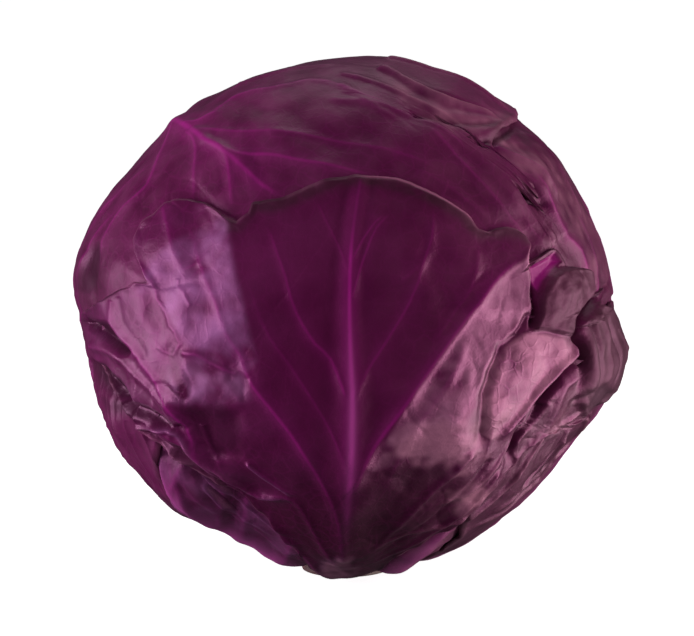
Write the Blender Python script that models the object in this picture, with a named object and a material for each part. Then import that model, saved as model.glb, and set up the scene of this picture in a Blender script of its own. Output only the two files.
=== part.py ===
"""Head of red cabbage: a tight inner head wrapped in eight overlapping
leaves, standing on the flat face of its cut stump.

Every layer is a radius measured from one centre over one shared set of
directions, so a leaf is the space between two radii, cut to its own outline.
Metres, +Z up, the cut face on the floor at the origin, the outermost leaf
towards -Y.
"""
import math

import bmesh
import bpy
import numpy as np
from mathutils import Vector, noise

# ------------------------------------------------------------ dimensions
CENTRE_Z = 0.0775          # height of the head's centre above the cut face
HEAD_R = 0.0792            # mean radius over the outermost leaves
SQUASH = 0.985             # height of the head against its width
BLADE = 0.0012             # thickness of a leaf between its ribs
GAP = 0.0003               # air between two layers
LAYER = BLADE + GAP
STUMP_ANGLE = 10.6         # half angle of the stump, seen from the centre
COLLAR_ANGLE = 13.2        # where the leaf bases start, from straight down
GRID = 9                   # divisions along each edge of the icosahedron
OVERLAP_FADE = (9.0, 26.0)  # degrees past a margin over which a layer fades
SNAP = 0.9                 # smallest margin distance kept on a grid point

# Radius of the head's outline (mm) seen from the front, every ten degrees
# anticlockwise from the right.  The front is tipped up by FRONT_TILT.
FRONT_TILT = 8.0
OUTLINE = [
    80.8, 80.4, 79.3, 79.5, 80.7, 79.6, 80.7, 80.4, 80.1, 79.0, 78.7, 78.7,
    79.2, 79.2, 78.7, 80.8, 82.5, 84.9, 80.6, 79.3, 79.3, 78.4, 78.7, 78.6,
    72.6, 73.0, 77.0, 77.8, 76.9, 76.1, 76.3, 76.0, 75.5, 76.0, 80.7, 84.6,
]
# Broad swellings and hollows between the outline and the middle:
# azimuth, elevation (degrees), height (metres), half width (degrees)
SWELLS = [
    (228, -8, 0.0020, 20), (232, 20, 0.0014, 16), (300, -14, 0.0020, 18),
    (318, 4, 0.0016, 12), (268, 5, -0.0016, 24), (246, -30, -0.0016, 14),
    (330, 34, 0.0013, 16), (262, 62, 0.0010, 20), (60, 20, 0.0022, 18),
    (110, 5, -0.0016, 20), (85, 45, 0.0014, 20), (130, -25, 0.0020, 16),
    (40, -30, 0.0016, 18), (150, 62, -0.0008, 18),
]
DIMPLE = 0.0062            # how far the head is drawn in round the stump

# Leaves from the outermost inwards.  Each: name, azimuth of its midrib,
# centre of its outline (azimuth, elevation), outline (azimuth, elevation),
# midrib height at the base, and midrib sideways bend with height.
FRONT = [
    (270, 38.5), (258, 35), (247, 32), (240, 28.5), (232, 31.5), (221, 30.5),
    (213, 24), (217, 17), (223, 13), (212, 9), (200, 6), (187, 2), (188, -5),
    (200, -9), (211, -14), (220, -20), (230, -28), (239, -36), (245, -44),
    (250, -56), (246, -68), (238, -78), (270, -84), (302, -78), (294, -68),
    (290, -58), (300, -51), (308, -44), (312, -36), (317, -27), (323, -20),
    (336, -17), (352, -15), (356, -4), (354, 3), (343, 9), (333, 15),
    (325, 19.5), (318, 19), (312, 19), (313.5, 23.5), (309, 26), (303, 25),
    (298, 30), (291, 34), (284, 37.5),
]
CROWN = [
    (354, 50), (340, 49.5), (328, 48.5), (315, 46.5), (318, 40), (319, 34),
    (327, 30), (332, 27.5), (325, 21), (312, 15), (295, 18), (278, 24),
    (262, 24), (248, 16), (236, 4), (226, -12), (216, -30), (206, -50),
    (198, -66), (190, -78), (150, -84), (112, -78), (108, -64), (112, -48),
    (114, -30), (108, -12), (98, 6), (86, 22), (70, 38), (40, 48), (14, 51),
]


def wrap_outline(mid, top, half, skew):
    """Outline of a plain wrapper leaf: narrow at the stump, broad across the
    middle, rounded and a little wavy over the top."""
    pts = []
    for side in (1, -1):
        run = [(0.00, top), (0.34, top - 2), (0.62, top - 9), (0.86, top - 22),
               (1.00, top - 40), (0.97, top - 58), (0.82, -38), (0.66, -56),
               (0.52, -68), (0.42, -78)]
        run = [(mid + side * half * w + skew * (e / 60.0), e) for w, e in run]
        run = [(a, e + 2.2 * math.sin(0.11 * a + side)) if -50 < e < top - 1
               else (a, e) for a, e in run]
        pts.append(run)
    return pts[0] + [(mid, -84)] + pts[1][::-1][:-1]


LEAVES = [
    # name, midrib azimuth, outline centre, outline, base height, bend
    ("front_leaf", 270, (270, -4), FRONT, 0.0020, 0),
    ("crown_leaf", 150, (168, 34), CROWN, 0.0022, 22),
    ("right_leaf", 355, (352, 6), wrap_outline(352, 62, 62, -8), 0.0021, -14),
    ("front_left_leaf", 217, (217, 0), wrap_outline(217, 50, 66, 5), 0.0021, 6),
    ("back_leaf", 80, (80, 2), wrap_outline(80, 54, 70, -6), 0.0021, 5),
    ("front_right_leaf", 302, (302, 0), wrap_outline(302, 48, 66, 6), 0.0020, -5),
    ("left_leaf", 165, (165, 2), wrap_outline(165, 52, 68, -5), 0.0019, 4),
    ("back_right_leaf", 27, (27, 2), wrap_outline(27, 54, 68, 4), 0.0019, -4),
]

COLOURS = {
    "front_leaf": (0.085, 0.008, 0.045, 1), "crown_leaf": (0.095, 0.012, 0.050, 1),
    "right_leaf": (0.100, 0.014, 0.052, 1), "front_left_leaf": (0.082, 0.012, 0.044, 1),
    "back_leaf": (0.090, 0.012, 0.050, 1), "front_right_leaf": (0.086, 0.010, 0.046, 1),
    "left_leaf": (0.088, 0.013, 0.050, 1), "back_right_leaf": (0.092, 0.013, 0.048, 1),
    "inner_head": (0.110, 0.016, 0.062, 1), "stump": (0.62, 0.55, 0.36, 1),
}


# --------------------------------------------------------------- directions
def direction(az, el):
    a, e = math.radians(az), math.radians(el)
    return np.array([math.cos(e) * math.cos(a), math.cos(e) * math.sin(a),
                     math.sin(e)])


def icosphere(n):
    """Directions and facets of an icosahedron, one corner straight up, each
    edge divided into n."""
    t = math.atan(0.5)
    corners = [np.array([0.0, 0.0, 1.0])]
    for k in range(5):
        corners.append(direction(72 * k, math.degrees(t)))
    for k in range(5):
        corners.append(direction(72 * k + 36, -math.degrees(t)))
    corners.append(np.array([0.0, 0.0, -1.0]))
    faces = []
    for k in range(5):
        a, b = 1 + k, 1 + (k + 1) % 5
        c, d = 6 + k, 6 + (k + 1) % 5
        faces += [(0, a, b), (a, c, b), (b, c, d), (11, d, c)]
    index, dirs, tris = {}, [], []

    def vert(p):
        p = p / np.linalg.norm(p)
        key = tuple(int(round(v * 1e5)) for v in p)
        if key not in index:
            index[key] = len(dirs)
            dirs.append(p)
        return index[key]

    for a, b, c in faces:
        A, B, C = corners[a], corners[b], corners[c]
        rows = [[vert((A * (n - i) + B * (i - j) + C * j) / n)
                 for j in range(i + 1)] for i in range(n + 1)]
        for i in range(n):
            for j in range(i + 1):
                tris.append((rows[i][j], rows[i + 1][j], rows[i + 1][j + 1]))
                if j < i:
                    tris.append((rows[i][j], rows[i + 1][j + 1],
                                 rows[i][j + 1]))
    return np.array(dirs), tris


def smooth(x):
    x = np.clip(x, 0.0, 1.0)
    return x * x * (3 - 2 * x)


def angle_between(dirs, d):
    return np.degrees(np.arccos(np.clip(dirs @ d, -1, 1)))


# ------------------------------------------------------------------ surfaces
def outer_radius(dirs):
    """Radius of the whole head: a slightly flattened ball that takes on the
    outline's radius towards its sides, with swellings and shallow puckers."""
    x, y, z = dirs.T
    tilt = math.radians(FRONT_TILT)
    up = z * math.cos(tilt) + y * math.sin(tilt)
    ball = HEAD_R / np.sqrt(x * x + y * y + (z / SQUASH) ** 2)
    turn = np.degrees(np.arctan2(up, x)) % 360
    edge = 0.001 * np.interp(turn, np.arange(0, 360, 10), OUTLINE, period=360)
    share = smooth((np.hypot(x, up) - 0.56) / 0.38)
    r = ball + (edge - ball) * share
    for az, el, h, w in SWELLS:
        r = r + h * np.exp(-(angle_between(dirs, direction(az, el)) / w) ** 2)
    pucker = np.array([noise.noise(Vector(d) * 4.2) for d in dirs])
    near_base = smooth((angle_between(dirs, np.array([0, 0, -1.0])) - 16) / 25)
    return r + 0.0006 * pucker * near_base


def margin_distance(dirs, centre, outline):
    """Degrees inside the outline (negative outside), measured along the ray
    from the leaf's centre, and clear of the collar round the stump."""
    c = direction(*centre)
    east = np.cross((0, 0, 1.0), c)
    east /= np.linalg.norm(east)
    north = np.cross(c, east)

    def polar(d):
        rho = angle_between(d, c)
        return np.arctan2(d @ north, d @ east), rho

    phi_o, rho_o = polar(np.array([direction(*p) for p in outline]))
    order = np.argsort(phi_o)
    phi, rho = polar(dirs)
    edge = np.interp(phi, phi_o[order], rho_o[order], period=2 * math.pi)
    collar = angle_between(dirs, np.array([0, 0, -1.0])) - COLLAR_ANGLE
    return np.minimum(edge - rho, collar)


def midrib(dirs, az, base_height, bend):
    """Thickening along the leaf's midrib, tallest and widest at the stump."""
    x, y, z = dirs.T
    el = np.degrees(np.arcsin(np.clip(z, -1, 1)))
    up = np.clip((el + 90) / 150.0, 0, 1)
    line = az + bend * up ** 2
    turn = (np.degrees(np.arctan2(y, x)) - line + 180) % 360 - 180
    side = np.abs(turn) * np.cos(np.radians(el))
    width = 7.5 - 3.5 * up
    height = base_height * (1 - up) ** 1.2 + 0.0003 * (1 - up)
    return height * np.exp(-(side / width) ** 2)


# ------------------------------------------------------------------- solids
def new_object(name, verts, faces):
    mesh = bpy.data.meshes.new(name)
    mesh.from_pydata([tuple(v) for v in verts], [], faces)
    bm = bmesh.new()
    bm.from_mesh(mesh)
    bmesh.ops.recalc_face_normals(bm, faces=bm.faces)
    bm.to_mesh(mesh)
    bm.free()
    obj = bpy.data.objects.new(name, mesh)
    bpy.context.scene.collection.objects.link(obj)
    mat = bpy.data.materials.new(name)
    mat.use_nodes = True
    shader = mat.node_tree.nodes.get("Principled BSDF")
    shader.inputs["Base Color"].default_value = COLOURS[name]
    shader.inputs["Roughness"].default_value = 0.35
    mat.diffuse_color = COLOURS[name]
    mesh.materials.append(mat)
    return obj


def place(dirs, radii):
    return dirs * radii[:, None] + np.array([0, 0, CENTRE_Z])


def leaf_solid(name, dirs, tris, inner, outer, field):
    """Closed solid between two radii, cut where the field is zero."""
    verts, faces, made = [], [], {}

    def corner(i):
        if ("c", i) not in made:
            made[("c", i)] = len(verts)
            verts.append(dirs[i] * outer[i])
            verts.append(dirs[i] * inner[i])
        return made[("c", i)]

    def cut(i, j):
        key = ("e", min(i, j), max(i, j))
        if key not in made:
            i, j = key[1], key[2]
            t = field[i] / (field[i] - field[j])
            made[key] = len(verts)
            for r in (outer, inner):
                u = t * r[i] / ((1 - t) * r[j] + t * r[i])
                verts.append(dirs[i] * r[i] * (1 - u) + dirs[j] * r[j] * u)
        return made[key]

    loops = []
    for tri in tris:
        inside = [field[i] > 0 for i in tri]
        if not any(inside):
            continue
        loop = []
        for k in range(3):
            i, j = tri[k], tri[(k + 1) % 3]
            if inside[k]:
                loop.append(corner(i))
            if inside[k] != inside[(k + 1) % 3]:
                loop.append(cut(i, j))
        loops.append(loop)
    edges = {}
    for loop in loops:
        for k in range(len(loop)):
            a, b = loop[k], loop[(k + 1) % len(loop)]
            edges[(a, b)] = edges.get((a, b), 0) + 1
        for k in range(1, len(loop) - 1):
            a, b, c = loop[0], loop[k], loop[k + 1]
            faces.append((a, b, c))
            faces.append((c + 1, b + 1, a + 1))
    for a, b in edges:
        if (b, a) not in edges:
            faces.append((b, a, a + 1))
            faces.append((b, a + 1, b + 1))
    verts = np.array(verts) + np.array([0, 0, CENTRE_Z])
    return new_object(name, verts, faces)


def deepest(dirs, tris, radii, half_angle):
    """Largest depth below the centre of the faceted surface within
    half_angle of straight down."""
    low = 0.0
    for tri in tris:
        if min(dirs[i][2] for i in tri) > -0.9:
            continue
        p = np.array([dirs[i] * radii[i] for i in tri])
        for u in np.linspace(0, 1, 15):
            for v in np.linspace(0, 1 - u, 15):
                q = p[0] * (1 - u - v) + p[1] * u + p[2] * v
                if math.hypot(q[0], q[1]) <= -q[2] * math.tan(
                        math.radians(half_angle)):
                    low = max(low, -q[2])
    return low


def main():
    for obj in list(bpy.data.objects):
        bpy.data.objects.remove(obj, do_unlink=True)

    dirs, tris = icosphere(GRID)
    fields, ribs, spread, soft = [], [], [], []
    for name, az, centre, outline, height, bend in LEAVES:
        f = margin_distance(dirs, centre, outline)
        f = np.where(np.abs(f) < SNAP, np.where(f < 0, -SNAP, SNAP), f)
        fields.append(f)
        ribs.append(midrib(dirs, az, height, bend))
        fade = smooth((f + OVERLAP_FADE[1])
                      / (OVERLAP_FADE[1] - OVERLAP_FADE[0]))
        for tri in tris:
            if any(f[i] > 0 for i in tri):
                for i in tri:
                    fade[i] = 1.0
        spread.append(fade)
        soft.append(smooth((f + 36) / 40))

    # The inner head lies under the mean thickness of the wrapping, so the
    # outside keeps the head's own shape and each margin is a small step.
    down = angle_between(dirs, np.array([0, 0, -1.0]))
    base = outer_radius(dirs) - DIMPLE * np.exp(-(down / 14.0) ** 4)
    for k in range(len(LEAVES)):
        base = base - (LAYER + 0.7 * ribs[k]) * soft[k]
    new_object("inner_head", place(dirs, base), [tuple(t) for t in tris])

    level = base + GAP
    for k in range(len(LEAVES) - 1, -1, -1):
        thick = BLADE + ribs[k]
        leaf_solid(LEAVES[k][0], dirs, tris, level, level + thick, fields[k])
        level = level + (thick + GAP) * spread[k]

    # Stump: a cone aimed at the centre, its cut face flat on the floor.
    under = CENTRE_Z - deepest(dirs, tris, base, STUMP_ANGLE + 1.0) - GAP
    rim = math.tan(math.radians(STUMP_ANGLE))
    n = 28
    verts, faces = [(0, 0, 0.0), (0, 0, under)], []
    for k in range(n):
        a = 2 * math.pi * k / n
        wobble = 1 + 0.035 * math.sin(2 * a + 0.6) + 0.02 * math.sin(3 * a)
        for z in (0.0, under):
            r = (CENTRE_Z - z) * rim * 0.94 * wobble
            verts.append((r * math.cos(a), r * math.sin(a), z))
    for k in range(n):
        a, b = 2 + 2 * k, 2 + 2 * ((k + 1) % n)
        faces += [(0, b, a), (1, a + 1, b + 1), (a, b, b + 1), (a, b + 1, a + 1)]
    new_object("stump", verts, faces)


main()
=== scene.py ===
"""Looks of a head of red cabbage: finely folded leaves over the fixed frame.

Every layer is a radius from the head's centre.  One relief field (ribs, folds,
puckers) is shared by all the layers, so they never cross, and each leaf adds
its own thickness, margin and curl.
"""
import math

import bpy
import numpy as np
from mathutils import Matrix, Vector


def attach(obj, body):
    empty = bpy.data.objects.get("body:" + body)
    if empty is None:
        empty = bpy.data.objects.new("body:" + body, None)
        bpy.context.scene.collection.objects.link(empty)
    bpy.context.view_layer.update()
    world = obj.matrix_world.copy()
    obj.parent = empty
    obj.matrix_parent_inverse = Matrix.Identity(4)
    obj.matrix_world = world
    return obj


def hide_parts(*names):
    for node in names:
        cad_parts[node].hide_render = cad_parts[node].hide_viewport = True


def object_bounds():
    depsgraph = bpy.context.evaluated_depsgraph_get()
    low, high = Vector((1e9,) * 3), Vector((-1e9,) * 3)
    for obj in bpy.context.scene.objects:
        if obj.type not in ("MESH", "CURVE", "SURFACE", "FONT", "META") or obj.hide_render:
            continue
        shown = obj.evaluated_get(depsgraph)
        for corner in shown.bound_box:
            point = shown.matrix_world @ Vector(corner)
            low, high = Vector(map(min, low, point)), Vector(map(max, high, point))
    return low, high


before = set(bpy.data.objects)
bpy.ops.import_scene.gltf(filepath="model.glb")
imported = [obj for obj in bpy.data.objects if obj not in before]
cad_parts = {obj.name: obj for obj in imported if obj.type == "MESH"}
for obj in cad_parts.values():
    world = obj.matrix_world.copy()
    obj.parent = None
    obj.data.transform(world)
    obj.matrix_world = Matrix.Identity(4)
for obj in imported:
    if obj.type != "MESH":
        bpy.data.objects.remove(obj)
cad_lo, cad_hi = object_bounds()

# ------------------------------------------------------------ dimensions (m)
CENTRE_Z = 0.0775
HEAD_R = 0.0792
SQUASH = 0.985
DIMPLE = 0.0062
MM = 0.001
BLADE, GAP = 1.15, 0.3     # mm
COLLAR = 12.4              # degrees from straight down where leaf bases end
DEG = HEAD_R * math.radians(1) / MM    # mm of surface per degree
TILT = math.radians(8.0)
VIEW_D = 1.0
SHEET_F = 3293.0           # drawing-sheet units per unit of slope
SHEET_C = (346.5, 318.0)
RIGHT = np.array([1.0, 0, 0])
UP = np.array([0, math.sin(TILT), math.cos(TILT)])
TOW = np.array([0, -math.cos(TILT), math.sin(TILT)])
DOWN = np.array([0, 0, -1.0])

OUTLINE = [
    80.8, 80.4, 79.3, 79.5, 80.7, 79.6, 80.7, 80.4, 80.1, 79.0, 78.7, 78.7,
    79.2, 79.2, 78.7, 80.8, 82.5, 84.9, 80.6, 79.3, 79.3, 78.4, 78.7, 78.6,
    72.6, 73.0, 77.0, 77.8, 76.9, 76.1, 76.3, 76.0, 75.5, 76.0, 80.7, 84.2,
]
SWELLS = [
    (228, -8, 2.0, 20), (232, 20, 1.4, 16), (300, -14, 2.0, 18),
    (318, 4, 1.6, 12), (268, 5, -1.6, 24), (246, -30, -1.6, 14),
    (330, 34, 1.3, 16), (262, 62, 1.0, 20), (60, 20, 2.2, 18),
    (110, 5, -1.6, 20), (85, 45, 1.4, 20), (130, -25, 2.0, 16),
    (40, -30, 1.6, 18), (150, 62, -0.8, 18),
]


# ---------------------------------------------------------------- directions
def direction(az, el):
    a, e = np.radians(az), np.radians(el)
    return np.stack([np.cos(e) * np.cos(a), np.cos(e) * np.sin(a),
                     np.sin(e) + 0 * a], -1)


def smooth(x):
    x = np.clip(x, 0.0, 1.0)
    return x * x * (3 - 2 * x)


def angle_to(q, d):
    return np.degrees(np.arccos(np.clip(q @ d, -1, 1)))


def hashed(i, j, k, seed):
    h = (i * 374761393 + j * 668265263 + k * 1274126177 + seed * 974634777)
    h = (h ^ (h >> 13)) * 1274126177 & 0xFFFFFFFF
    return h ^ (h >> 16)


def noise(p, seed=0):
    """Gradient noise, about -0.7 to 0.7, one feature per unit."""
    p = p + 100.0
    b = np.floor(p).astype(np.int64)
    f = p - b
    u = f * f * f * (f * (f * 6 - 15) + 10)
    out = 0.0
    for dx in (0, 1):
        for dy in (0, 1):
            for dz in (0, 1):
                h = hashed(b[:, 0] + dx, b[:, 1] + dy, b[:, 2] + dz, seed)
                g = np.stack([((h >> s) & 1023) / 511.5 - 1
                              for s in (0, 10, 20)], 1)
                w = ((u[:, 0] if dx else 1 - u[:, 0])
                     * (u[:, 1] if dy else 1 - u[:, 1])
                     * (u[:, 2] if dz else 1 - u[:, 2]))
                v = (g * (f - np.array([dx, dy, dz]))).sum(1)
                out = out + w * v
    return out


def fbm(p, octaves, seed=0, gain=0.5):
    out, a = 0.0, 1.0
    for k in range(octaves):
        out = out + a * noise(p * 2.03 ** k, seed + 17 * k)
        a *= gain
    return out


def outer_radius(q):
    """mm, over the outermost leaves."""
    x, y, z = q.T
    up = q @ UP
    ball = HEAD_R / MM / np.sqrt(x * x + y * y + (z / SQUASH) ** 2)
    turn = np.degrees(np.arctan2(up, x)) % 360
    fine = np.arange(0, 360, 2.0)
    ring = np.interp(fine, np.arange(0, 360, 10), OUTLINE, period=360)
    ker = np.exp(-(np.arange(-8, 9) / 2.4) ** 2)
    ring = np.convolve(np.concatenate([ring[-8:], ring, ring[:8]]),
                       ker / ker.sum(), "valid")
    edge = np.interp(turn, fine, ring, period=360)
    r = ball + (edge - ball) * smooth((np.hypot(x, up) - 0.56) / 0.38)
    for az, el, h, w in SWELLS:
        r = r + h * np.exp(-(angle_to(q, direction(az, el)) / w) ** 2)
    return r - DIMPLE / MM * np.exp(-(angle_to(q, DOWN) / 14.0) ** 4)


def sheet(pts):
    """Directions of points drawn on the front-view sheet."""
    pts = np.array(pts, float)
    ray = (-TOW + RIGHT * ((pts[:, :1] - SHEET_C[0]) / SHEET_F)
           + UP * ((SHEET_C[1] - pts[:, 1:]) / SHEET_F))
    ray /= np.linalg.norm(ray, axis=1)[:, None]
    cam = TOW * VIEW_D
    b = ray @ cam
    r = np.full(len(pts), HEAD_R)
    for _ in range(5):
        disc = np.maximum(b * b - (cam @ cam - r * r), 0)
        p = cam + ray * (-b - np.sqrt(disc))[:, None]
        d = p / np.linalg.norm(p, axis=1)[:, None]
        r = 0.5 * r + 0.5 * outer_radius(d) * MM
    return d


def on_sheet(q):
    """Sheet coordinates of directions, and how much each faces the front."""
    p = q * (outer_radius(q) * MM)[:, None]
    depth = VIEW_D - p @ TOW
    return (SHEET_C[0] + SHEET_F * (p @ RIGHT) / depth,
            SHEET_C[1] - SHEET_F * (p @ UP) / depth, q @ TOW)


def resample(d, step=2.0):
    """Smooth run of directions through the given ones, one every few mm."""
    n = len(d)
    ext = np.concatenate([[2 * d[0] - d[1]], d, [2 * d[-1] - d[-2]]])
    out = []
    for k in range(n - 1):
        p0, p1, p2, p3 = ext[k:k + 4]
        m = max(1, int(np.linalg.norm(p2 - p1) * HEAD_R / MM / step))
        for t in np.arange(m) / m:
            out.append(0.5 * (2 * p1 + (p2 - p0) * t
                              + (2 * p0 - 5 * p1 + 4 * p2 - p3) * t * t
                              + (3 * p1 - p0 - 3 * p2 + p3) * t ** 3))
    out.append(d[-1])
    out = np.array(out)
    return out / np.linalg.norm(out, axis=1)[:, None]


class Line:
    """Distance (mm), side and run (0 to 1) of directions near a drawn line."""

    def __init__(self, d, step=3.0):
        self.d = resample(np.asarray(d), step)
        seg = np.linalg.norm(np.diff(self.d, axis=0), axis=1)
        self.run = np.concatenate([[0], np.cumsum(seg)])
        self.run /= self.run[-1]
        self.mid = self.d.mean(0)
        self.mid /= np.linalg.norm(self.mid)
        self.reach = angle_to(self.d, self.mid).max()

    def near(self, q, cutoff):
        ids = np.nonzero(q @ self.mid > math.cos(
            min(math.pi, math.radians(self.reach + cutoff / DEG))))[0]
        p = q[ids]
        best = np.full(len(ids), 1e9)
        side = np.zeros(len(ids))
        run = np.zeros(len(ids))
        for k in range(len(self.d) - 1):
            a, b = self.d[k], self.d[k + 1]
            ab = b - a
            t = np.clip((p - a) @ ab / (ab @ ab), 0, 1)
            e = p - a - t[:, None] * ab
            dist = np.einsum("ij,ij->i", e, e)
            m = dist < best
            best[m] = dist[m]
            side[m] = np.sign(p[m] @ np.cross(a, b))
            run[m] = self.run[k] + t[m] * (self.run[k + 1] - self.run[k])
        best = np.sqrt(best) * HEAD_R / MM
        m = best < cutoff
        return ids[m], best[m], side[m], run[m]


# ------------------------------------------------------------------- leaves
def wrap_outline(mid, top, half, skew):
    pts = []
    for side in (1, -1):
        run = [(0.00, top), (0.34, top - 2), (0.62, top - 9), (0.86, top - 22),
               (1.00, top - 40), (0.97, top - 58), (0.82, -38), (0.66, -56),
               (0.52, -68), (0.42, -78)]
        run = [(mid + side * half * w + skew * (e / 60.0), e) for w, e in run]
        run = [(a, e + 2.2 * math.sin(0.11 * a + side)) if -50 < e < top - 1
               else (a, e) for a, e in run]
        pts.append(run)
    pts = pts[0] + [(mid, -84)] + pts[1][::-1][:-1]
    return direction(*np.array(pts, float).T)


FRONT_TOP = [  # on the sheet, left to right
    (88, 308), (102, 300), (118, 289), (126, 288), (135, 282), (149, 284),
    (139, 264), (134, 252), (133, 240), (138, 226), (152, 214), (164, 202),
    (176, 199), (188, 198), (204, 202), (216, 210), (225, 217), (236, 222),
    (248, 213), (252, 203), (266, 200), (280, 198), (299, 189), (319, 182),
    (345, 176), (359, 173), (372, 174), (390, 177), (403, 180), (421, 187),
    (439, 196), (452, 203), (464, 212), (472, 221), (478, 229), (487, 232),
    (494, 229), (506, 227), (515, 230), (522, 236), (526, 246), (523, 254),
    (525, 262), (530, 262), (537, 258), (545, 252), (552, 247), (557, 250),
    (561, 258), (567, 266), (577, 268), (587, 272), (593, 283), (595, 296),
    (597, 304), (606, 308),
]
FRONT_REST = [  # azimuth, elevation, clockwise from the right-hand tip
    (348, 9), (354, 5), (358, 0), (357, -6), (352, -12), (346, -18),
    (338, -21), (330, -20), (324, -21), (318, -26), (314, -33), (311, -40),
    (306, -47), (299, -53), (292, -59), (292, -68), (300, -78), (270, -84),
    (240, -78), (247, -68), (250, -57), (244, -45), (238, -37), (230, -29),
    (221, -22), (212, -15), (201, -9), (190, -4), (187, 1),
]
CROWN_RIGHT = [  # on the sheet, from the top right down under the front leaf
    (516, 121), (508, 125), (500, 130), (494, 137), (492, 144), (495, 152),
    (501, 160), (506, 168), (511, 178), (516, 188), (524, 198), (538, 204),
    (551, 211), (556, 222), (558, 236), (557, 250),
]
CROWN_REST = [
    (322, 12), (312, 9), (295, 12), (278, 18), (262, 18), (248, 10), (236, 0),
    (226, -14), (216, -30), (206, -50), (198, -66), (190, -78), (150, -84),
    (112, -78), (108, -64), (112, -48), (115, -30), (109, -12), (98, 6),
    (86, 22), (70, 37), (44, 46), (20, 50),
]
_ar = np.array
LEAVES = [
    # name, midrib azimuth, outline centre, outline, grid, wave
    ("front_leaf", 270, (270, -4), np.concatenate(
        [sheet(FRONT_TOP), direction(*_ar(FRONT_REST, float).T)]), 400, 0.25),
    ("crown_leaf", 150, (190, 50), np.concatenate(
        [sheet(CROWN_RIGHT), direction(*_ar(CROWN_REST, float).T)]), 320, 0.35),
    ("right_leaf", 355, (352, 6), wrap_outline(352, 62, 62, -8), 240, 0.6),
    ("front_left_leaf", 217, (217, 0), wrap_outline(217, 50, 66, 5), 220, 0.6),
    ("back_leaf", 80, (80, 2), wrap_outline(80, 54, 70, -6), 220, 0.6),
    ("front_right_leaf", 302, (302, 0), wrap_outline(302, 48, 66, 6), 200, 0.5),
    ("left_leaf", 165, (165, 2), wrap_outline(165, 52, 68, -5), 140, 0.5),
    ("back_right_leaf", 27, (27, 2), wrap_outline(27, 54, 68, 4), 140, 0.5),
]


class Leaf:
    def __init__(self, index, name, az, centre, outline, grid, wave):
        self.index, self.name, self.az, self.grid = index, name, az, grid
        self.c = direction(*np.array(centre, float))
        self.east = np.cross((0, 0, 1.0), self.c)
        self.east /= np.linalg.norm(self.east)
        self.north = np.cross(self.c, self.east)
        phi_o, rho_o = self.polar(outline)
        order = np.argsort(phi_o)
        self.phi = np.linspace(-math.pi, math.pi, 4097)[:-1]
        rho = np.interp(self.phi, phi_o[order], rho_o[order],
                        period=2 * math.pi)
        ker = np.exp(-(np.arange(-12, 13) / 4.0) ** 2)
        rho = np.convolve(np.concatenate([rho[-12:], rho, rho[:12]]),
                          ker / ker.sum(), "valid")
        d = self.at(rho, self.phi)
        rho = rho + wave * (fbm(d * 9, 3, 40 + index)
                            + 0.5 * noise(d * 30, 60 + index))
        if index == 0:   # ragged where the leaf wraps round the sides
            rho = rho + 3.4 * fbm(d * 7, 3, 77) * smooth(
                (0.34 - d @ TOW) / 0.25)
        # stop at the collar round the stump
        for k, p in enumerate(self.phi):
            if math.sin(p) < -0.3 and rho[k] > 50:
                r = np.linspace(20, rho[k], 260)
                down = angle_to(self.at(r, np.full(260, p)), DOWN)
                bad = np.nonzero(down < COLLAR)[0]
                if len(bad):
                    rho[k] = r[bad[0]]
        self.rho = rho
        # calmer, shorter outline that the inside of the mesh follows
        ext = np.concatenate([rho[-300:], rho, rho[:300]])
        low = np.min([ext[k:k + 4096] for k in range(150, 451, 10)], axis=0)
        ker = np.exp(-(np.arange(-150, 151) / 75.0) ** 2)
        self.calm = np.convolve(np.concatenate([low[-150:], low, low[:150]]),
                                ker / ker.sum(), "valid")

    def polar(self, q):
        return (np.arctan2(q @ self.north, q @ self.east),
                angle_to(q, self.c))

    def at(self, rho, phi):
        r = np.radians(rho)[:, None]
        e = (self.east * np.cos(phi)[:, None]
             + self.north * np.sin(phi)[:, None])
        return self.c * np.cos(r) + e * np.sin(r)

    def inside(self, q):
        """mm inside the margin, along the ray from the leaf's centre."""
        phi, rho = self.polar(q)
        edge = np.interp(phi, self.phi, self.rho, period=2 * math.pi)
        return (edge - rho) * DEG


leaves = [Leaf(i, *row) for i, row in enumerate(LEAVES)]


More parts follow.
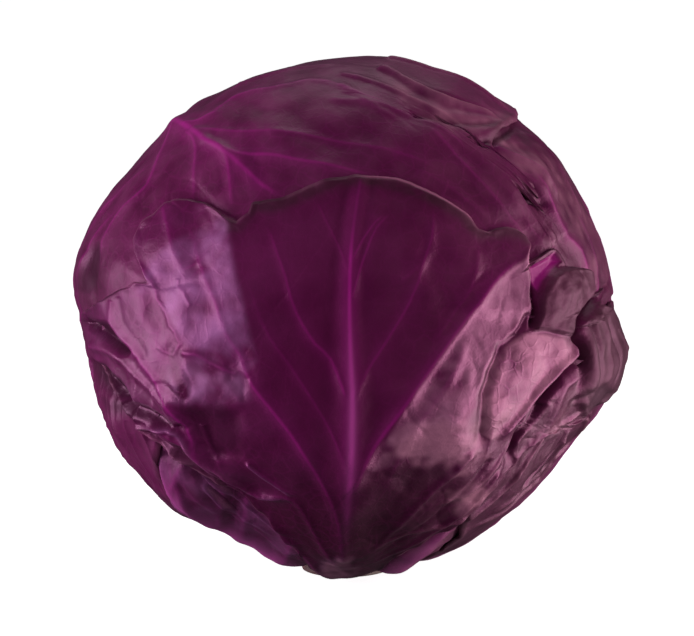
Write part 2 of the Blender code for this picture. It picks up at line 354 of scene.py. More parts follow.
# --------------------------------------------- ribs and folds seen in front
# points on the sheet, height at each end (mm), width at each end (mm), colour at each end
# (vein colour; on a strand, painted highlight), profile; a groove also gets painted shade
FRONT_LINES = [
    ([(340, 574), (290, 540), (251, 510), (220, 483), (202, 463), (192, 448),
      (184, 426), (167, 400), (157, 381), (149, 370), (131, 347), (104, 314)],
     0.9, 0.25, 2.4, 1.2, 0.75, 0.45, "ridge"),
    ([(344, 560), (338, 520), (320, 480), (296, 440), (276, 414), (250, 380),
      (241, 357), (231, 340), (221, 315), (210, 287), (195, 251), (188, 218)],
     0.55, 0.2, 1.7, 1.0, 0.75, 0.40, "ridge"),
    ([(346, 397), (330, 359), (315, 344), (296, 313), (286, 279), (282, 267),
      (271, 236), (263, 222)], 0.30, 0.10, 1.2, 0.8, 0.5, 0.22, "ridge"),
    ([(349, 470), (330, 430), (310, 396), (290, 366), (270, 338), (258, 310),
      (250, 280)], 0.20, 0.08, 1.1, 0.7, 0.28, 0.12, "ridge"),
    ([(352, 490), (365, 460), (382, 432), (420, 380), (455, 330), (490, 283),
      (519, 256)], 0.55, 0.30, 1.7, 1.2, 0.6, 0.55, "ridge"),
    ([(353, 400), (366, 372), (388, 338), (410, 300), (422, 263), (430, 240),
      (433, 205)], 0.22, 0.12, 1.1, 0.8, 0.32, 0.25, "ridge"),
    ([(351, 300), (362, 262), (376, 228), (392, 212)],
     0.15, 0.05, 0.9, 0.6, 0.5, 0.2, "ridge"),
    ([(351, 262), (362, 240), (375, 222), (385, 214)],
     0.12, 0.05, 0.8, 0.5, 0.5, 0.2, "ridge"),
    ([(350, 275), (338, 246), (326, 222), (316, 200)],
     0.12, 0.05, 0.8, 0.5, 0.32, 0.12, "ridge"),
    ([(139, 264), (154, 283), (157, 300), (166, 312), (170, 325), (176, 331),
      (181, 344), (174, 355), (158, 346), (152, 334)],
     0.35, 0.3, 0.8, 0.8, 0.35, 0.3, "ridge"),
    ([(182, 352), (198, 354), (213, 364), (230, 372), (241, 376)],
     0.6, 0.4, 1.0, 0.9, 0.4, 0.35, "ridge"),
    ([(179, 279), (178, 286), (186, 293), (193, 308)],
     0.3, 0.2, 0.8, 0.6, 0.3, 0.3, "ridge"),
    ([(154, 288), (175, 286), (207, 282)], -0.35, -0.2, 1.0, 1.0, 0, 0,
     "ridge"),
    ([(164, 206), (170, 230), (176, 256), (184, 270), (200, 262), (214, 246)],
     0.3, 0.2, 1.3, 1.0, 0.25, 0.2, "ridge"),
    ([(118, 296), (124, 322), (138, 342), (150, 362)],
     -0.35, -0.25, 1.4, 1.3, 0, 0, "ridge"),
    ([(112, 300), (113, 322), (121, 338), (131, 346)],
     0.6, 0.3, 1.3, 1.0, 0.3, 0.3, "ridge"),
    ([(245, 462), (281, 487), (300, 497)], 0.5, 0.3, 1.1, 1.0, 0.35, 0.3,
     "ridge"),
    ([(220, 473), (249, 491), (293, 500), (322, 545), (345, 567)],
     0.5, 0.5, 1.2, 1.6, 0.3, 0.5, "ridge"),
    ([(167, 400), (190, 404), (214, 410), (236, 404), (247, 388)],
     0.5, 0.4, 2.2, 2.2, 0, 0, "ridge"),
    ([(176, 424), (196, 446), (222, 456), (246, 452)],
     -0.8, -0.5, 2.0, 2.0, 0, 0, "ridge"),
    ([(200, 425), (206, 444), (215, 460), (225, 468)],
     0.45, 0.3, 1.0, 1.0, 0.1, 0.1, "ridge"),
    ([(86, 322), (106, 336), (124, 348), (133, 358)],
     -2.4, -1.2, 1.7, 1.3, 0, 0, "ridge"),
    ([(92, 345), (112, 352), (140, 378), (166, 406), (180, 428)],
     1.6, 1.0, 1.7, 1.5, 0.1, 0.15, "ridge"),
    ([(92, 362), (108, 384), (126, 400), (163, 421), (178, 434)],
     -2.2, -1.4, 1.9, 1.5, 0, 0, "ridge"),
    ([(138, 427), (160, 428), (177, 434), (200, 462), (217, 480), (247, 493),
      (293, 498)],
     1.3, 0.8, 1.0, 0.9, 0.34, 0.2, "strand"),
    ([(143, 440), (170, 457), (203, 473), (233, 500), (260, 517)],
     1.2, 0.8, 1.0, 0.9, 0.3, 0.2, "strand"),
    ([(193, 480), (217, 490), (240, 507), (262, 524), (300, 545)],
     1.0, 0.7, 0.9, 0.9, 0.3, 0.15, "strand"),
    ([(247, 463), (267, 480), (293, 497)],
     0.7, 0.4, 0.8, 0.7, 0.3, 0.2, "strand"),
    ([(580, 410), (562, 424), (540, 440), (505, 485), (470, 514), (405, 536),
      (355, 556)],
     0.9, 0.25, 1.2, 1.0, 0.3, 0.1, "strand"),
    ([(562, 432), (536, 462), (505, 500), (470, 526), (420, 545)],
     0.9, 0.3, 1.1, 1.0, 0.25, 0.1, "strand"),
    ([(520, 426), (510, 446), (494, 468), (468, 492), (430, 508)],
     1.1, 0.4, 1.3, 1.2, 0.3, 0.15, "strand"),
    ([(544, 404), (530, 424), (514, 444), (500, 466)],
     -2.0, -1.2, 1.3, 1.4, 0, 0, "ridge"),
    ([(98, 388), (120, 408), (152, 424), (190, 450), (232, 480), (262, 495),
      (298, 500)],
     1.6, 1.0, 1.8, 1.3, 0.12, 0.15, "ridge"),
    ([(112, 412), (150, 436), (190, 464), (226, 486), (262, 504)],
     -2.2, -1.4, 1.6, 1.3, 0, 0, "ridge"),
    ([(124, 424), (150, 446), (186, 474), (222, 498), (262, 516), (300, 540)],
     1.3, 0.9, 1.4, 1.3, 0.15, 0.15, "ridge"),
    # side lobe, wrapped round to the right
    ([(594, 312), (600, 335), (604, 360), (598, 385)],
     1.0, 0.7, 1.2, 1.2, 0.14, 0.1, "strand"),
    ([(602, 318), (610, 340), (612, 362), (604, 388)],
     -1.5, -1.1, 1.1, 1.1, 0, 0, "ridge"),
    ([(588, 322), (593, 345), (595, 368), (590, 390)],
     -1.4, -1.0, 1.0, 1.0, 0, 0, "ridge"),
    ([(612, 328), (619, 348), (617, 372)],
     0.8, 0.5, 1.0, 1.0, 0.12, 0.1, "strand"),
    # right lobe
    ([(527, 312), (516, 334), (500, 347), (492, 365), (488, 381), (483, 394),
      (482, 414), (480, 440), (481, 453)],
     -1.5, -0.9, 1.2, 1.9, 0, 0, "ridge"),
    ([(520, 322), (508, 338), (494, 352), (484, 368), (478, 392), (474, 420)],
     0.5, 0.3, 1.5, 1.4, 0.2, 0.2, "ridge"),
    ([(576, 343), (574, 355), (560, 369), (544, 385), (536, 394), (520, 415),
      (495, 442)],
     2.0, 1.2, 1.7, 1.6, 0.3, 0.25, "ridge"),
    ([(578, 360), (563, 373), (552, 388), (534, 410), (520, 426), (506, 468)],
     -3.4, -1.8, 1.8, 1.9, 0, 0, "ridge"),
    ([(582, 374), (565, 386), (556, 407), (544, 432), (524, 456)],
     1.0, 0.7, 1.6, 1.6, 0.2, 0.15, "ridge"),
    ([(590, 390), (572, 402), (564, 418), (552, 444)],
     -0.8, -0.5, 1.6, 1.6, 0, 0, "ridge"),
    ([(401, 281), (422, 263), (430, 252), (431, 217)],
     0.4, 0.3, 1.6, 1.4, 0.1, 0.1, "ridge"),
    ([(476, 250), (470, 282), (452, 312), (430, 344)],
     0.25, 0.12, 1.2, 1.0, 0.15, 0.12, "ridge"),
    ([(462, 340), (452, 372), (432, 402), (412, 430), (396, 462), (380, 500)],
     0.7, 0.1, 2.0, 1.8, 0.3, 0.1, "ridge"),
    ([(474, 452), (456, 470), (432, 492), (404, 520), (372, 552)],
     1.2, 0.2, 1.6, 1.2, 0.2, 0.2, "ridge"),
    ([(490, 458), (468, 486), (440, 512), (404, 538), (366, 560)],
     -0.9, -0.1, 1.4, 1.2, 0, 0, "ridge"),
    ([(500, 470), (476, 498), (448, 521), (408, 546), (362, 566)],
     1.2, 0.2, 1.3, 1.1, 0.2, 0.2, "ridge"),
    ([(430, 455), (410, 482), (388, 514), (362, 552)],
     -0.2, 0.0, 1.8, 1.4, 0, 0, "ridge"),
]
# a crease: the surface falls away on both sides of it like a roof
CREASES = [
    ([(228, 214), (231, 228), (235, 267), (243, 310), (254, 359), (262, 392)],
     1.8, 0.8, 10, 9),
    ([(522, 256), (490, 285), (455, 332), (420, 382), (384, 434), (366, 462)],
     2.2, 1.8, 11, 13),
    ([(102, 306), (131, 347), (157, 381), (170, 404)], 0.9, 0.9, 6, 7),
    ([(540, 340), (545, 372), (520, 400), (492, 432)], -0.6, -0.6, 9, 9),
]
# low domes and hollows: sheet point, height (mm), half width (mm)
DOMES = [
    ((200, 392), 1.5, 9), ((206, 436), -1.0, 7), ((158, 240), 0.8, 8),
    ((196, 236), -0.5, 7), ((204, 316), 0.7, 9), ((140, 306), 0.5, 7),
    ((524, 370), 1.0, 11), ((505, 412), 0.7, 8), ((440, 420), 0.9, 9),
    ((470, 300), 0.7, 9), ((250, 440), 0.5, 9), ((120, 430), 0.9, 8),
    ((186, 500), 1.0, 8), ((90, 290), -1.0, 5), ((85, 262), -1.3, 5),
    ((560, 440), 0.8, 7), ((596, 404), -1.4, 3.5), ((310, 250), 0.4, 10),
    ((400, 240), 0.4, 9), ((300, 520), 0.7, 9), ((420, 520), 0.6, 8),
]
CROWN_LINES = [
    ([(172, 124), (188, 128), (205, 140), (232, 158), (262, 184), (284, 197)],
     0.9, 0.3, 3.2, 1.8, 0.9, 0.6, "ridge"),
    ([(190, 130), (229, 151), (275, 155), (306, 160), (339, 166), (390, 177)],
     0.5, 0.2, 1.8, 1.2, 0.75, 0.35, "ridge"),
    ([(182, 126), (200, 121), (215, 113), (232, 98), (276, 88), (309, 81),
      (330, 82), (360, 94), (402, 110)], 0.6, 0.2, 1.8, 1.4, 0.6, 0.3,
     "ridge"),
    ([(196, 130), (240, 132), (290, 132), (344, 140), (400, 152), (446, 172)],
     0.35, 0.12, 1.4, 1.0, 0.4, 0.22, "ridge"),
    ([(384, 60), (430, 70), (457, 80), (483, 93), (511, 114)],
     1.2, 0.9, 1.3, 1.1, 0.22, 0.3, "strand"),
    ([(340, 74), (390, 88), (440, 112), (476, 130)],
     0.7, 0.5, 1.1, 1.0, 0.2, 0.22, "strand"),
    ([(330, 100), (380, 104), (430, 124), (470, 150)],
     0.5, 0.4, 1.3, 1.2, 0.2, 0.15, "ridge"),
    ([(236, 86), (295, 69), (340, 66)], 0.9, 0.5, 1.5, 1.3, 0.1, 0.1, "ridge"),
    ([(340, 82), (369, 104), (400, 118)], 0.4, 0.3, 1.2, 1.1, 0.1, 0.1,
     "ridge"),
    ([(378, 69), (436, 98), (485, 113), (503, 124)],
     1.9, 1.5, 1.6, 1.4, 0.25, 0.35, "strand"),
    ([(400, 76), (446, 96), (484, 110), (500, 118)],
     -0.9, -0.7, 1.6, 1.4, 0, 0, "ridge"),
    ([(411, 113), (455, 121), (498, 126)],
     -1.2, -1.6, 2.0, 1.6, 0, 0, "ridge"),
    ([(455, 150), (486, 172), (508, 200), (528, 226)],
     -0.4, -0.3, 2.2, 2.0, 0, 0, "ridge"),
    ([(200, 140), (222, 148), (228, 168), (230, 208)],
     0.35, 0.2, 1.2, 1.0, 0.65, 0.4, "ridge"),
    ([(186, 132), (194, 142), (193, 170), (190, 196)],
     0.35, 0.2, 1.2, 1.0, 0.55, 0.35, "ridge"),
    ([(176, 126), (163, 150), (146, 184), (117, 214), (102, 241), (97, 272)],
     0.6, 0.4, 1.6, 1.4, 0.5, 0.35, "ridge"),
    ([(172, 128), (150, 152), (126, 180), (104, 212), (90, 240)],
     -0.4, -0.4, 1.6, 1.6, 0, 0, "ridge"),
    ([(430, 130), (462, 160), (490, 190), (512, 216), (532, 240)],
     0.3, 0.2, 1.6, 1.4, 0.25, 0.2, "ridge"),
    ([(420, 170), (448, 184), (474, 204), (492, 218)],
     0.3, 0.3, 1.4, 1.3, 0.1, 0.1, "ridge"),
    ([(528, 222), (536, 232), (545, 242)], 0.4, 0.3, 1.2, 1.0, 0.1, 0.1,
     "ridge"),
]
RIGHT_LINES = [
    ([(577, 377), (557, 397), (524, 430), (508, 457), (486, 484)],
     -1.8, -1.0, 1.8, 1.5, 0, 0, "ridge"),
    ([(574, 388), (560, 415), (534, 452), (508, 489), (480, 513), (440, 536)],
     1.3, 0.7, 1.2, 1.1, 0.3, 0.2, "strand"),
    ([(588, 414), (574, 436), (556, 462), (530, 486), (500, 512), (460, 534)],
     1.3, 0.7, 1.1, 1.0, 0.3, 0.2, "strand"),
    ([(584, 396), (568, 428), (544, 462), (516, 494)],
     -1.5, -0.8, 1.1, 1.0, 0, 0, "ridge"),
    ([(564, 437), (544, 468), (518, 492), (484, 520)],
     0.9, 0.5, 0.8, 0.8, 0.25, 0.15, "strand"),
    ([(594, 404), (582, 432), (562, 462), (536, 492), (506, 516)],
     -1.2, -0.7, 1.0, 1.0, 0, 0, "ridge"),
    ([(596, 296), (590, 274), (582, 251), (569, 237), (560, 222), (552, 206),
      (544, 188), (530, 168)], 0.9, 0.4, 2.0, 1.4, 1.0, 0.5, "ridge"),
    ([(490, 143), (509, 151), (532, 163), (543, 173), (552, 185), (559, 203)],
     1.0, 0.7, 1.6, 1.4, 0.2, 0.2, "ridge"),
    ([(504, 138), (530, 150), (552, 170), (566, 190)],
     -0.6, -0.4, 2.0, 1.8, 0, 0, "ridge"),
    ([(486, 150), (504, 160), (528, 176), (548, 196)],
     0.8, 0.5, 1.6, 1.4, 0.1, 0.1, "ridge"),
    ([(512, 172), (526, 182), (544, 200), (552, 214)],
     -0.6, -0.4, 1.4, 1.3, 0, 0, "ridge"),
    ([(520, 128), (544, 146), (562, 172), (574, 196), (586, 230)],
     0.5, 0.4, 1.8, 1.6, 0.15, 0.15, "ridge"),
    ([(600, 300), (598, 268), (588, 236), (576, 210)],
     0.4, 0.3, 1.4, 1.2, 0.5, 0.3, "ridge"),
]
LEFT_LINES = [
    ([(127, 447), (153, 447), (193, 461), (220, 481), (247, 501), (273, 518),
      (293, 534)], 1.2, 0.7, 1.0, 0.9, 0.3, 0.2, "strand"),
    ([(187, 467), (220, 494), (260, 521), (293, 548)],
     1.1, 0.6, 0.9, 0.8, 0.3, 0.15, "strand"),
    ([(200, 487), (233, 514), (273, 541)],
     1.0, 0.5, 0.9, 0.8, 0.28, 0.15, "strand"),
    ([(146, 452), (176, 466), (206, 490), (240, 520)],
     -1.4, -0.8, 1.1, 1.0, 0, 0, "ridge"),
    ([(150, 470), (166, 492), (190, 512), (226, 530)],
     1.2, 0.5, 1.1, 1.0, 0.25, 0.15, "strand"),
    ([(138, 462), (150, 490), (172, 512)],
     1.0, 0.6, 1.2, 1.0, 0.2, 0.15, "strand"),
    ([(250, 540), (214, 520), (190, 506), (172, 480), (158, 452), (140, 428)],
     0.9, 0.4, 2.2, 1.4, 0.6, 0.35, "ridge"),
    ([(215, 522), (186, 500), (171, 470)], 0.5, 0.4, 1.2, 1.0, 0.4, 0.35,
     "ridge"),
    ([(232, 520), (206, 496), (190, 474)], -0.6, -0.4, 1.3, 1.2, 0, 0,
     "ridge"),
]


def leaf_frame(az):
    n = -direction(np.float64(az + 90), np.float64(0))
    return n


def grown_veins(leaf, top, seed, skip=None):
    """Midrib and side ribs of a leaf, grown from its base up to its margin.
    skip drops each run, midrib or side rib, that it refuses."""
    rng = np.random.default_rng(seed)
    n = leaf_frame(leaf.az)
    base = math.cos(math.radians(12.4)) * DOWN + math.sin(
        math.radians(12.4)) * direction(np.float64(leaf.az), np.float64(0))

    def walk(d, heading, turn, steps, step=2.2):
        run = [d]
        for k in range(steps):
            t = np.cross(n, d)
            t /= np.linalg.norm(t)
            a = np.cross(t, d)
            h = heading + turn * k
            d = d + math.radians(step) * (t * math.cos(h) + a * math.sin(h))
            d /= np.linalg.norm(d)
            if leaf.inside(d[None])[0] < 2.0:
                break
            run.append(d)
        return np.array(run)

    out = []
    mid = walk(base, 0.0, rng.uniform(-0.006, 0.006), int(top / 2.2))
    out.append((mid, 2.6, 0.3, 6.5, 1.2, 0.9, 0.6, "rib"))
    k, side = 3, 1
    while k < len(mid) - 4:
        far = k / len(mid)
        for s in (side, -side):
            start = 0.95 - 0.35 * far + rng.uniform(-0.08, 0.08)
            lat = walk(mid[min(k, len(mid) - 1)], s * start,
                       -s * rng.uniform(0.012, 0.020), 46)
            if len(lat) > 5:
                big = 1 - 0.6 * far
                out.append((lat, 0.75 * big, 0.15, 2.3 * big + 0.6, 0.8,
                            0.6, 0.3, "ridge"))
                for b in range(5, len(lat) - 5, 6):
                    for w in (1, -1):
                        sub = walk(lat[b], s * start * 0.6 + w * 0.75,
                                   -w * 0.02, rng.integers(5, 12))
                        if len(sub) > 4:
                            out.append((sub, 0.28 * big, 0.05, 1.1, 0.6,
                                        0.32, 0.12, "ridge"))
            k += 1
        k += rng.integers(2, 5)
        side = -side
    if skip is not None:
        out = [row for row in out if not skip(row[0])]
    return out


def in_front(run):
    m = run[len(run) // 2]
    return m @ TOW > 0.05


def build_lines():
    rows = []
    for idx, table in ((0, FRONT_LINES), (1, CROWN_LINES), (2, RIGHT_LINES),
                       (3, LEFT_LINES)):
        for pts, *rest in table:
            rows.append((idx, Line(sheet(pts)), rest))
    mid = [(345, 577), (345, 540), (348, 500), (351, 450), (352, 400),
           (350, 350), (349, 300), (350, 260), (352, 235), (356, 206),
           (360, 180)]
    rows.append((0, Line(sheet(mid)), [0, 0, 0, 0, 0, 0, "front_rib"]))
    for leaf in leaves[1:]:
        top = {1: 150}.get(leaf.index, 118)
        skip = in_front if leaf.index in (1, 2) else None
        for d, *rest in grown_veins(leaf, top, 5 + leaf.index, skip):
            if len(d) > 2:
                rows.append((leaf.index, Line(d, 4.0), rest))
    return rows


LINES = build_lines()
CREASE_LINES = [(Line(sheet(p)), h0, h1, wl, wr)
                for p, h0, h1, wl, wr in CREASES]
DOME_DIRS = [(sheet([p])[0], h, w) for p, h, w in DOMES]
TEAR = Line(sheet([(526, 247), (521, 257), (523, 270), (529, 282), (530, 300),
                   (532, 314), (530, 332)]), 1.0)
FLAP = sheet([(562, 300)])[0]
MARGIN_BAND = Line(sheet([(216, 212), (236, 224), (252, 206), (280, 201),
                          (319, 185), (359, 176), (403, 183), (439, 199),
                          (464, 214), (478, 230), (506, 229), (522, 238)]),
                   2.0)
# painted highlight along the front leaf's top edge
BRIGHT_EDGE = Line(sheet([(345, 177), (372, 175), (403, 181), (439, 197),
                          (464, 213), (487, 233)]), 2.0)


def fields(q):
    """Relief (mm) and colour masks of the surface in each direction, including painted
    shade in grooves, gaps, pleats and pucker hollows and painted highlight along fold
    strands.
    """
    m = len(q)
    ins = [leaf.inside(q) for leaf in leaves]
    cover = np.ones(m)
    mask = []
    for f in ins:
        mask.append(cover * smooth((f + 0.2) / 2.2))
        cover = cover * smooth((-f + 0.4) / 2.5)
    relief = np.zeros(m)
    vein = np.zeros(m)
    pale = np.zeros(m)
    deep = np.zeros(m)
    strand_highlight = np.zeros(m)
    part = [np.nonzero(k > 0.004)[0] for k in mask]
    part_q = [q[p] for p in part]
    for idx, line, (h0, h1, w0, w1, c0, c1, kind) in LINES:
        if kind == "front_rib":
            ids, dist, side, run = line.near(part_q[0], 26)
            ids = part[0][ids]
            low = (1 - run) ** 1.6
            w = 1.5 + 7.0 * low
            g = np.exp(-(dist / w) ** 2)
            relief[ids] += mask[0][ids] * (0.30 + 2.0 * low) * g
            relief[ids] -= mask[0][ids] * 0.4 * np.exp(
                -((dist - 2.1 * w) / (0.9 * w)) ** 2)
            fade = (0.22 + 0.78 * smooth((run - 0.24) / 0.2)) * (
                0.30 + 0.70 * smooth((0.93 - run) / 0.10))
            c = 1.0 * fade * np.exp(-(dist / (0.60 + 1.1 * low)) ** 2)
            vein[ids] = np.maximum(vein[ids], mask[0][ids] * c)
            c = 0.52 * smooth((0.82 - run) / 0.3) * smooth(
                (run - 0.22) / 0.15) * np.exp(-(dist / (0.8 + 1.5 * low)) ** 2)
            pale[ids] = np.maximum(pale[ids], mask[0][ids] * c)
            c = 0.34 * fade * np.exp(-(dist / (2.4 + 3 * low)) ** 2)
            vein[ids] = np.maximum(vein[ids], mask[0][ids] * c)
            continue
        ids, dist, side, run = line.near(part_q[idx], 3.0 * max(w0, w1) + 2)
        ids = part[idx][ids]
        ends = smooth(run / 0.06 + 0.3) * smooth((1 - run) / 0.15)
        if kind == "rib":
            low = (1 - run) ** 1.5
            w = w1 + (w0 - w1) * low
            h = h1 + (h0 - h1) * low
            ends = smooth((1 - run) / 0.1)
        else:
            w = w0 + (w1 - w0) * run
            h = h0 + (h1 - h0) * run
        g = np.exp(-(dist / w) ** 2)
        relief[ids] += mask[idx][ids] * h * g * ends
        # a groove also gets painted shade along it
        if h0 < 0:
            deep[ids] = np.maximum(deep[ids], mask[idx][ids] * ends * np.clip(
                -h * 0.30, 0, 0.9) * np.exp(-(dist / (0.8 * w)) ** 2))
        # a strand gets painted highlight along its crest instead of vein colour
        if kind == "strand":
            c = (c0 + (c1 - c0) * run) * np.exp(-(dist / (0.6 * w)) ** 2)
            strand_highlight[ids] = np.maximum(strand_highlight[ids], mask[idx][ids] * c * ends)
            continue
        if c0 > 0:
            c = (c0 + (c1 - c0) * run) * np.exp(-(dist / (0.34 * w + 0.18))
                                                ** 2) * ends
            vein[ids] = np.maximum(vein[ids], mask[idx][ids] * c)
            c = 0.30 * (c0 + (c1 - c0) * run) * np.exp(
                -(dist / (1.1 * w + 1.0)) ** 2) * ends
            vein[ids] = np.maximum(vein[ids], mask[idx][ids] * c)
            if kind == "rib":
                c = 0.55 * low * np.exp(-(dist / (0.8 * w)) ** 2)
                pale[ids] = np.maximum(pale[ids], mask[idx][ids] * c)
    front = smooth((ins[0] + 3) / 6)
    for line, h0, h1, wl, wr in CREASE_LINES:
        ids, dist, side, run = line.near(q, 45)
        w = np.where(side > 0, wl, wr)
        h = h0 + (h1 - h0) * run
        round_ = np.sqrt(dist ** 2 + 0.6 ** 2) - 0.6
        relief[ids] += front[ids] * h * np.exp(-round_ / w)
    for d, h, w in DOME_DIRS:
        a = angle_to(q, d) * DEG
        relief += h * np.exp(-(a / w) ** 2)
    # puckers and creases
    px, py, face = on_sheet(q)
    cut, dark = carve(q, px, py, face)
    relief += cut
    # painted shade from the carved gaps and gullies
    deep = np.maximum(deep, dark)
    near_base = smooth((angle_to(q, DOWN) - 12) / 20)
    p = q * 1.0
    warp = np.stack([noise(p * 3.1 + s, 91 + s) for s in range(3)], 1) * 0.16
    broad = fbm(p * 3.0 + warp, 2, 3)
    mid_n = fbm(p * 8.0 + warp * 1.5, 2, 11)
    fold = np.abs(noise(p * 6.5 + warp * 3, 23))
    fold = np.exp(-(fold / 0.075) ** 2)
    patch = smooth(noise(p * 3.3, 31) * 1.6 + 0.45)
    fine = noise(p * 22.0 + warp * 3, 51)
    # pleats that run down to the stump
    down = angle_to(q, DOWN)
    turn = np.arctan2(q[:, 1], q[:, 0])
    ring = np.stack([np.cos(turn) * 3.2, np.sin(turn) * 3.2, down * 0.014], 1)
    ring = ring + warp * 1.6
    pleat = np.abs(noise(ring * 2.0, 61))
    pleat2 = np.abs(noise(ring * 4.4, 62))
    low_l = np.exp(-(((px - 128) / 52) ** 2 + ((py - 440) / 56) ** 2))
    low_r = 0.45 * np.exp(-(((px - 530) / 46) ** 2 + ((py - 456) / 46) ** 2))
    seen = smooth((face + 0.15) / 0.3)
    zone = seen * np.clip(low_l + low_r, 0, 1) + (1 - seen) * 0.32 * smooth(
        (110 - down) / 45)
    zone = zone * smooth((down - 16) / 20)
    relief += zone * (1.6 * np.exp(-pleat / 0.10) - 0.5
                      + 0.7 * np.exp(-pleat2 / 0.10) - 0.2)
    # painted shade between the pleats
    deep = np.maximum(deep, 0.55 * zone * smooth((pleat - 0.22) / 0.16))
    lobe = (np.exp(-(((px - 160) / 75) ** 2 + ((py - 330) / 120) ** 2))
            + np.exp(-(((px - 540) / 70) ** 2 + ((py - 370) / 100) ** 2)))
    lobe = np.where(face > 0, lobe, 0)
    calm = np.exp(-(((px - 340) / 80) ** 2 + ((py - 300) / 120) ** 2)) * (
        face > 0)
    still = np.exp(-(((px - 566) / 32) ** 2 + ((py - 415) / 34) ** 2)) * (
        face > 0)
    rough = (0.50 + 0.75 * lobe) * (1 - 0.75 * calm) * (1 - 0.9 * still)
    relief += near_base * (0.9 * broad + rough * (
        0.70 * mid_n - 0.26 * fold * patch + 0.07 * fine))
    # painted shade in the hollows of the puckers
    deep = np.maximum(deep, 0.40 * rough * smooth(-mid_n * 1.8 - 0.20))
    return (relief, vein, pale, ins, mask, (px, py, face),
            (broad, mid_n, fine, deep, strand_highlight))


def stack(q, ins, ribs=None):
    """Radius (mm) of the underside of each layer, outermost first, and of the
    inner head."""
    base = outer_radius(q)
    step = BLADE + GAP
    for f in ins:
        base = base - step * smooth((f + 20.5) / 28)
    under = [None] * len(leaves)
    level = base + GAP
    for k in range(len(leaves) - 1, -1, -1):
        under[k] = level.copy()
        level = level + step * smooth((ins[k] + 12) / 11)
    return base, under


def patch_depth(px, py, pts, reach=40.0):
    """Sheet units inside a drawn patch, negative outside it."""
    pts = np.array(pts, float)
    out = np.full(len(px), -reach)
    lo, hi = pts.min(0) - reach, pts.max(0) + reach
    ids = np.nonzero((px > lo[0]) & (px < hi[0]) & (py > lo[1])
                     & (py < hi[1]))[0]
    x, y = px[ids], py[ids]
    dist = np.full(len(ids), 1e9)
    inside = np.zeros(len(ids), bool)
    for k in range(len(pts)):
        (x0, y0), (x1, y1) = pts[k - 1], pts[k]
        dx, dy = x1 - x0, y1 - y0
        t = np.clip(((x - x0) * dx + (y - y0) * dy)
                    / (dx * dx + dy * dy + 1e-9), 0, 1)
        dist = np.minimum(dist, np.hypot(x - x0 - t * dx, y - y0 - t * dy))
        if y0 != y1:
            cross = ((y0 > y) != (y1 > y)) & (
                x < (x1 - x0) * (y - y0) / (y1 - y0) + x0)
            inside ^= cross
    out[ids] = np.maximum(np.where(inside, dist, -dist), -reach)
    return out


FLAP = [(536, 295), (540, 286), (546, 277), (554, 270), (566, 268), (580, 268),
        (590, 272), (594, 284), (590, 300), (582, 309), (575, 317), (573, 336),
        (562, 334), (545, 330), (531, 331), (534, 315), (535, 303)]
VALLEY = [(531, 284), (525, 266), (532, 264), (540, 260), (552, 252),
          (558, 262), (548, 272), (540, 281), (536, 292)]
RIM = [(586, 320), (597, 300), (612, 306), (626, 330), (632, 360), (620, 385),
       (606, 404), (592, 410), (580, 420), (576, 402), (585, 368), (584, 345)]
CREVICE = Line(sheet([(590, 278), (593, 291), (589, 304), (579, 315),
                      (576, 332), (581, 348), (584, 364), (579, 383),
                      (568, 398)]), 1.5)
HOLE = Line(sheet([(527, 190), (529, 198), (538, 201), (552, 204)]), 1.5)
UNDER_RIM = sheet([(597, 404)])[0]


# hollows with painted shade: depth (mm), darkness of the painted shade, softness (sheet
# units), edge
GULLIES = [
    (1.6, 0.95, 3, [(588, 273), (597, 284), (595, 300), (587, 312), (581, 330),
                    (587, 350), (587, 368), (579, 366), (574, 340), (574, 318),
                    (584, 306), (589, 292)]),
    (1.5, 0.95, 4, [(84, 322), (96, 321), (108, 323), (130, 352), (123, 355),
                   (107, 342), (92, 330)]),
    (2.0, 0.9, 4, [(86, 360), (102, 365), (117, 380), (128, 397), (120, 402),
                   (107, 397), (98, 387), (92, 377)]),
    (0.6, 0.8, 6, [(100, 398), (127, 402), (147, 410), (172, 424), (186, 428),
                   (160, 428), (135, 418), (112, 410)]),
    (1.0, 0.7, 6, [(78, 268), (86, 250), (95, 244), (92, 270), (84, 292),
                   (76, 290)]),
    (0.4, 0.7, 11, [(186, 412), (218, 406), (236, 416), (236, 446), (212, 458),
                   (194, 440)]),
    (0.6, 0.6, 6, [(228, 366), (248, 378), (244, 398), (228, 380)]),
    (0.9, 0.6, 6, [(148, 440), (180, 448), (214, 476), (236, 494), (204, 486),
                   (170, 468)]),
    (1.4, 0.9, 5, [(474, 141), (486, 138), (500, 132), (514, 125), (508, 134),
                   (494, 141), (482, 146)]),
    (0.5, 0.5, 7, [(470, 360), (486, 372), (482, 400), (484, 438), (470, 434),
                   (474, 396)]),
    (0.9, 0.8, 5, [(584, 392), (598, 384), (606, 392), (596, 408), (584, 408)]),
    (0.3, 0.6, 8, [(384, 474), (420, 474), (444, 464), (440, 478), (408, 490)]),
]


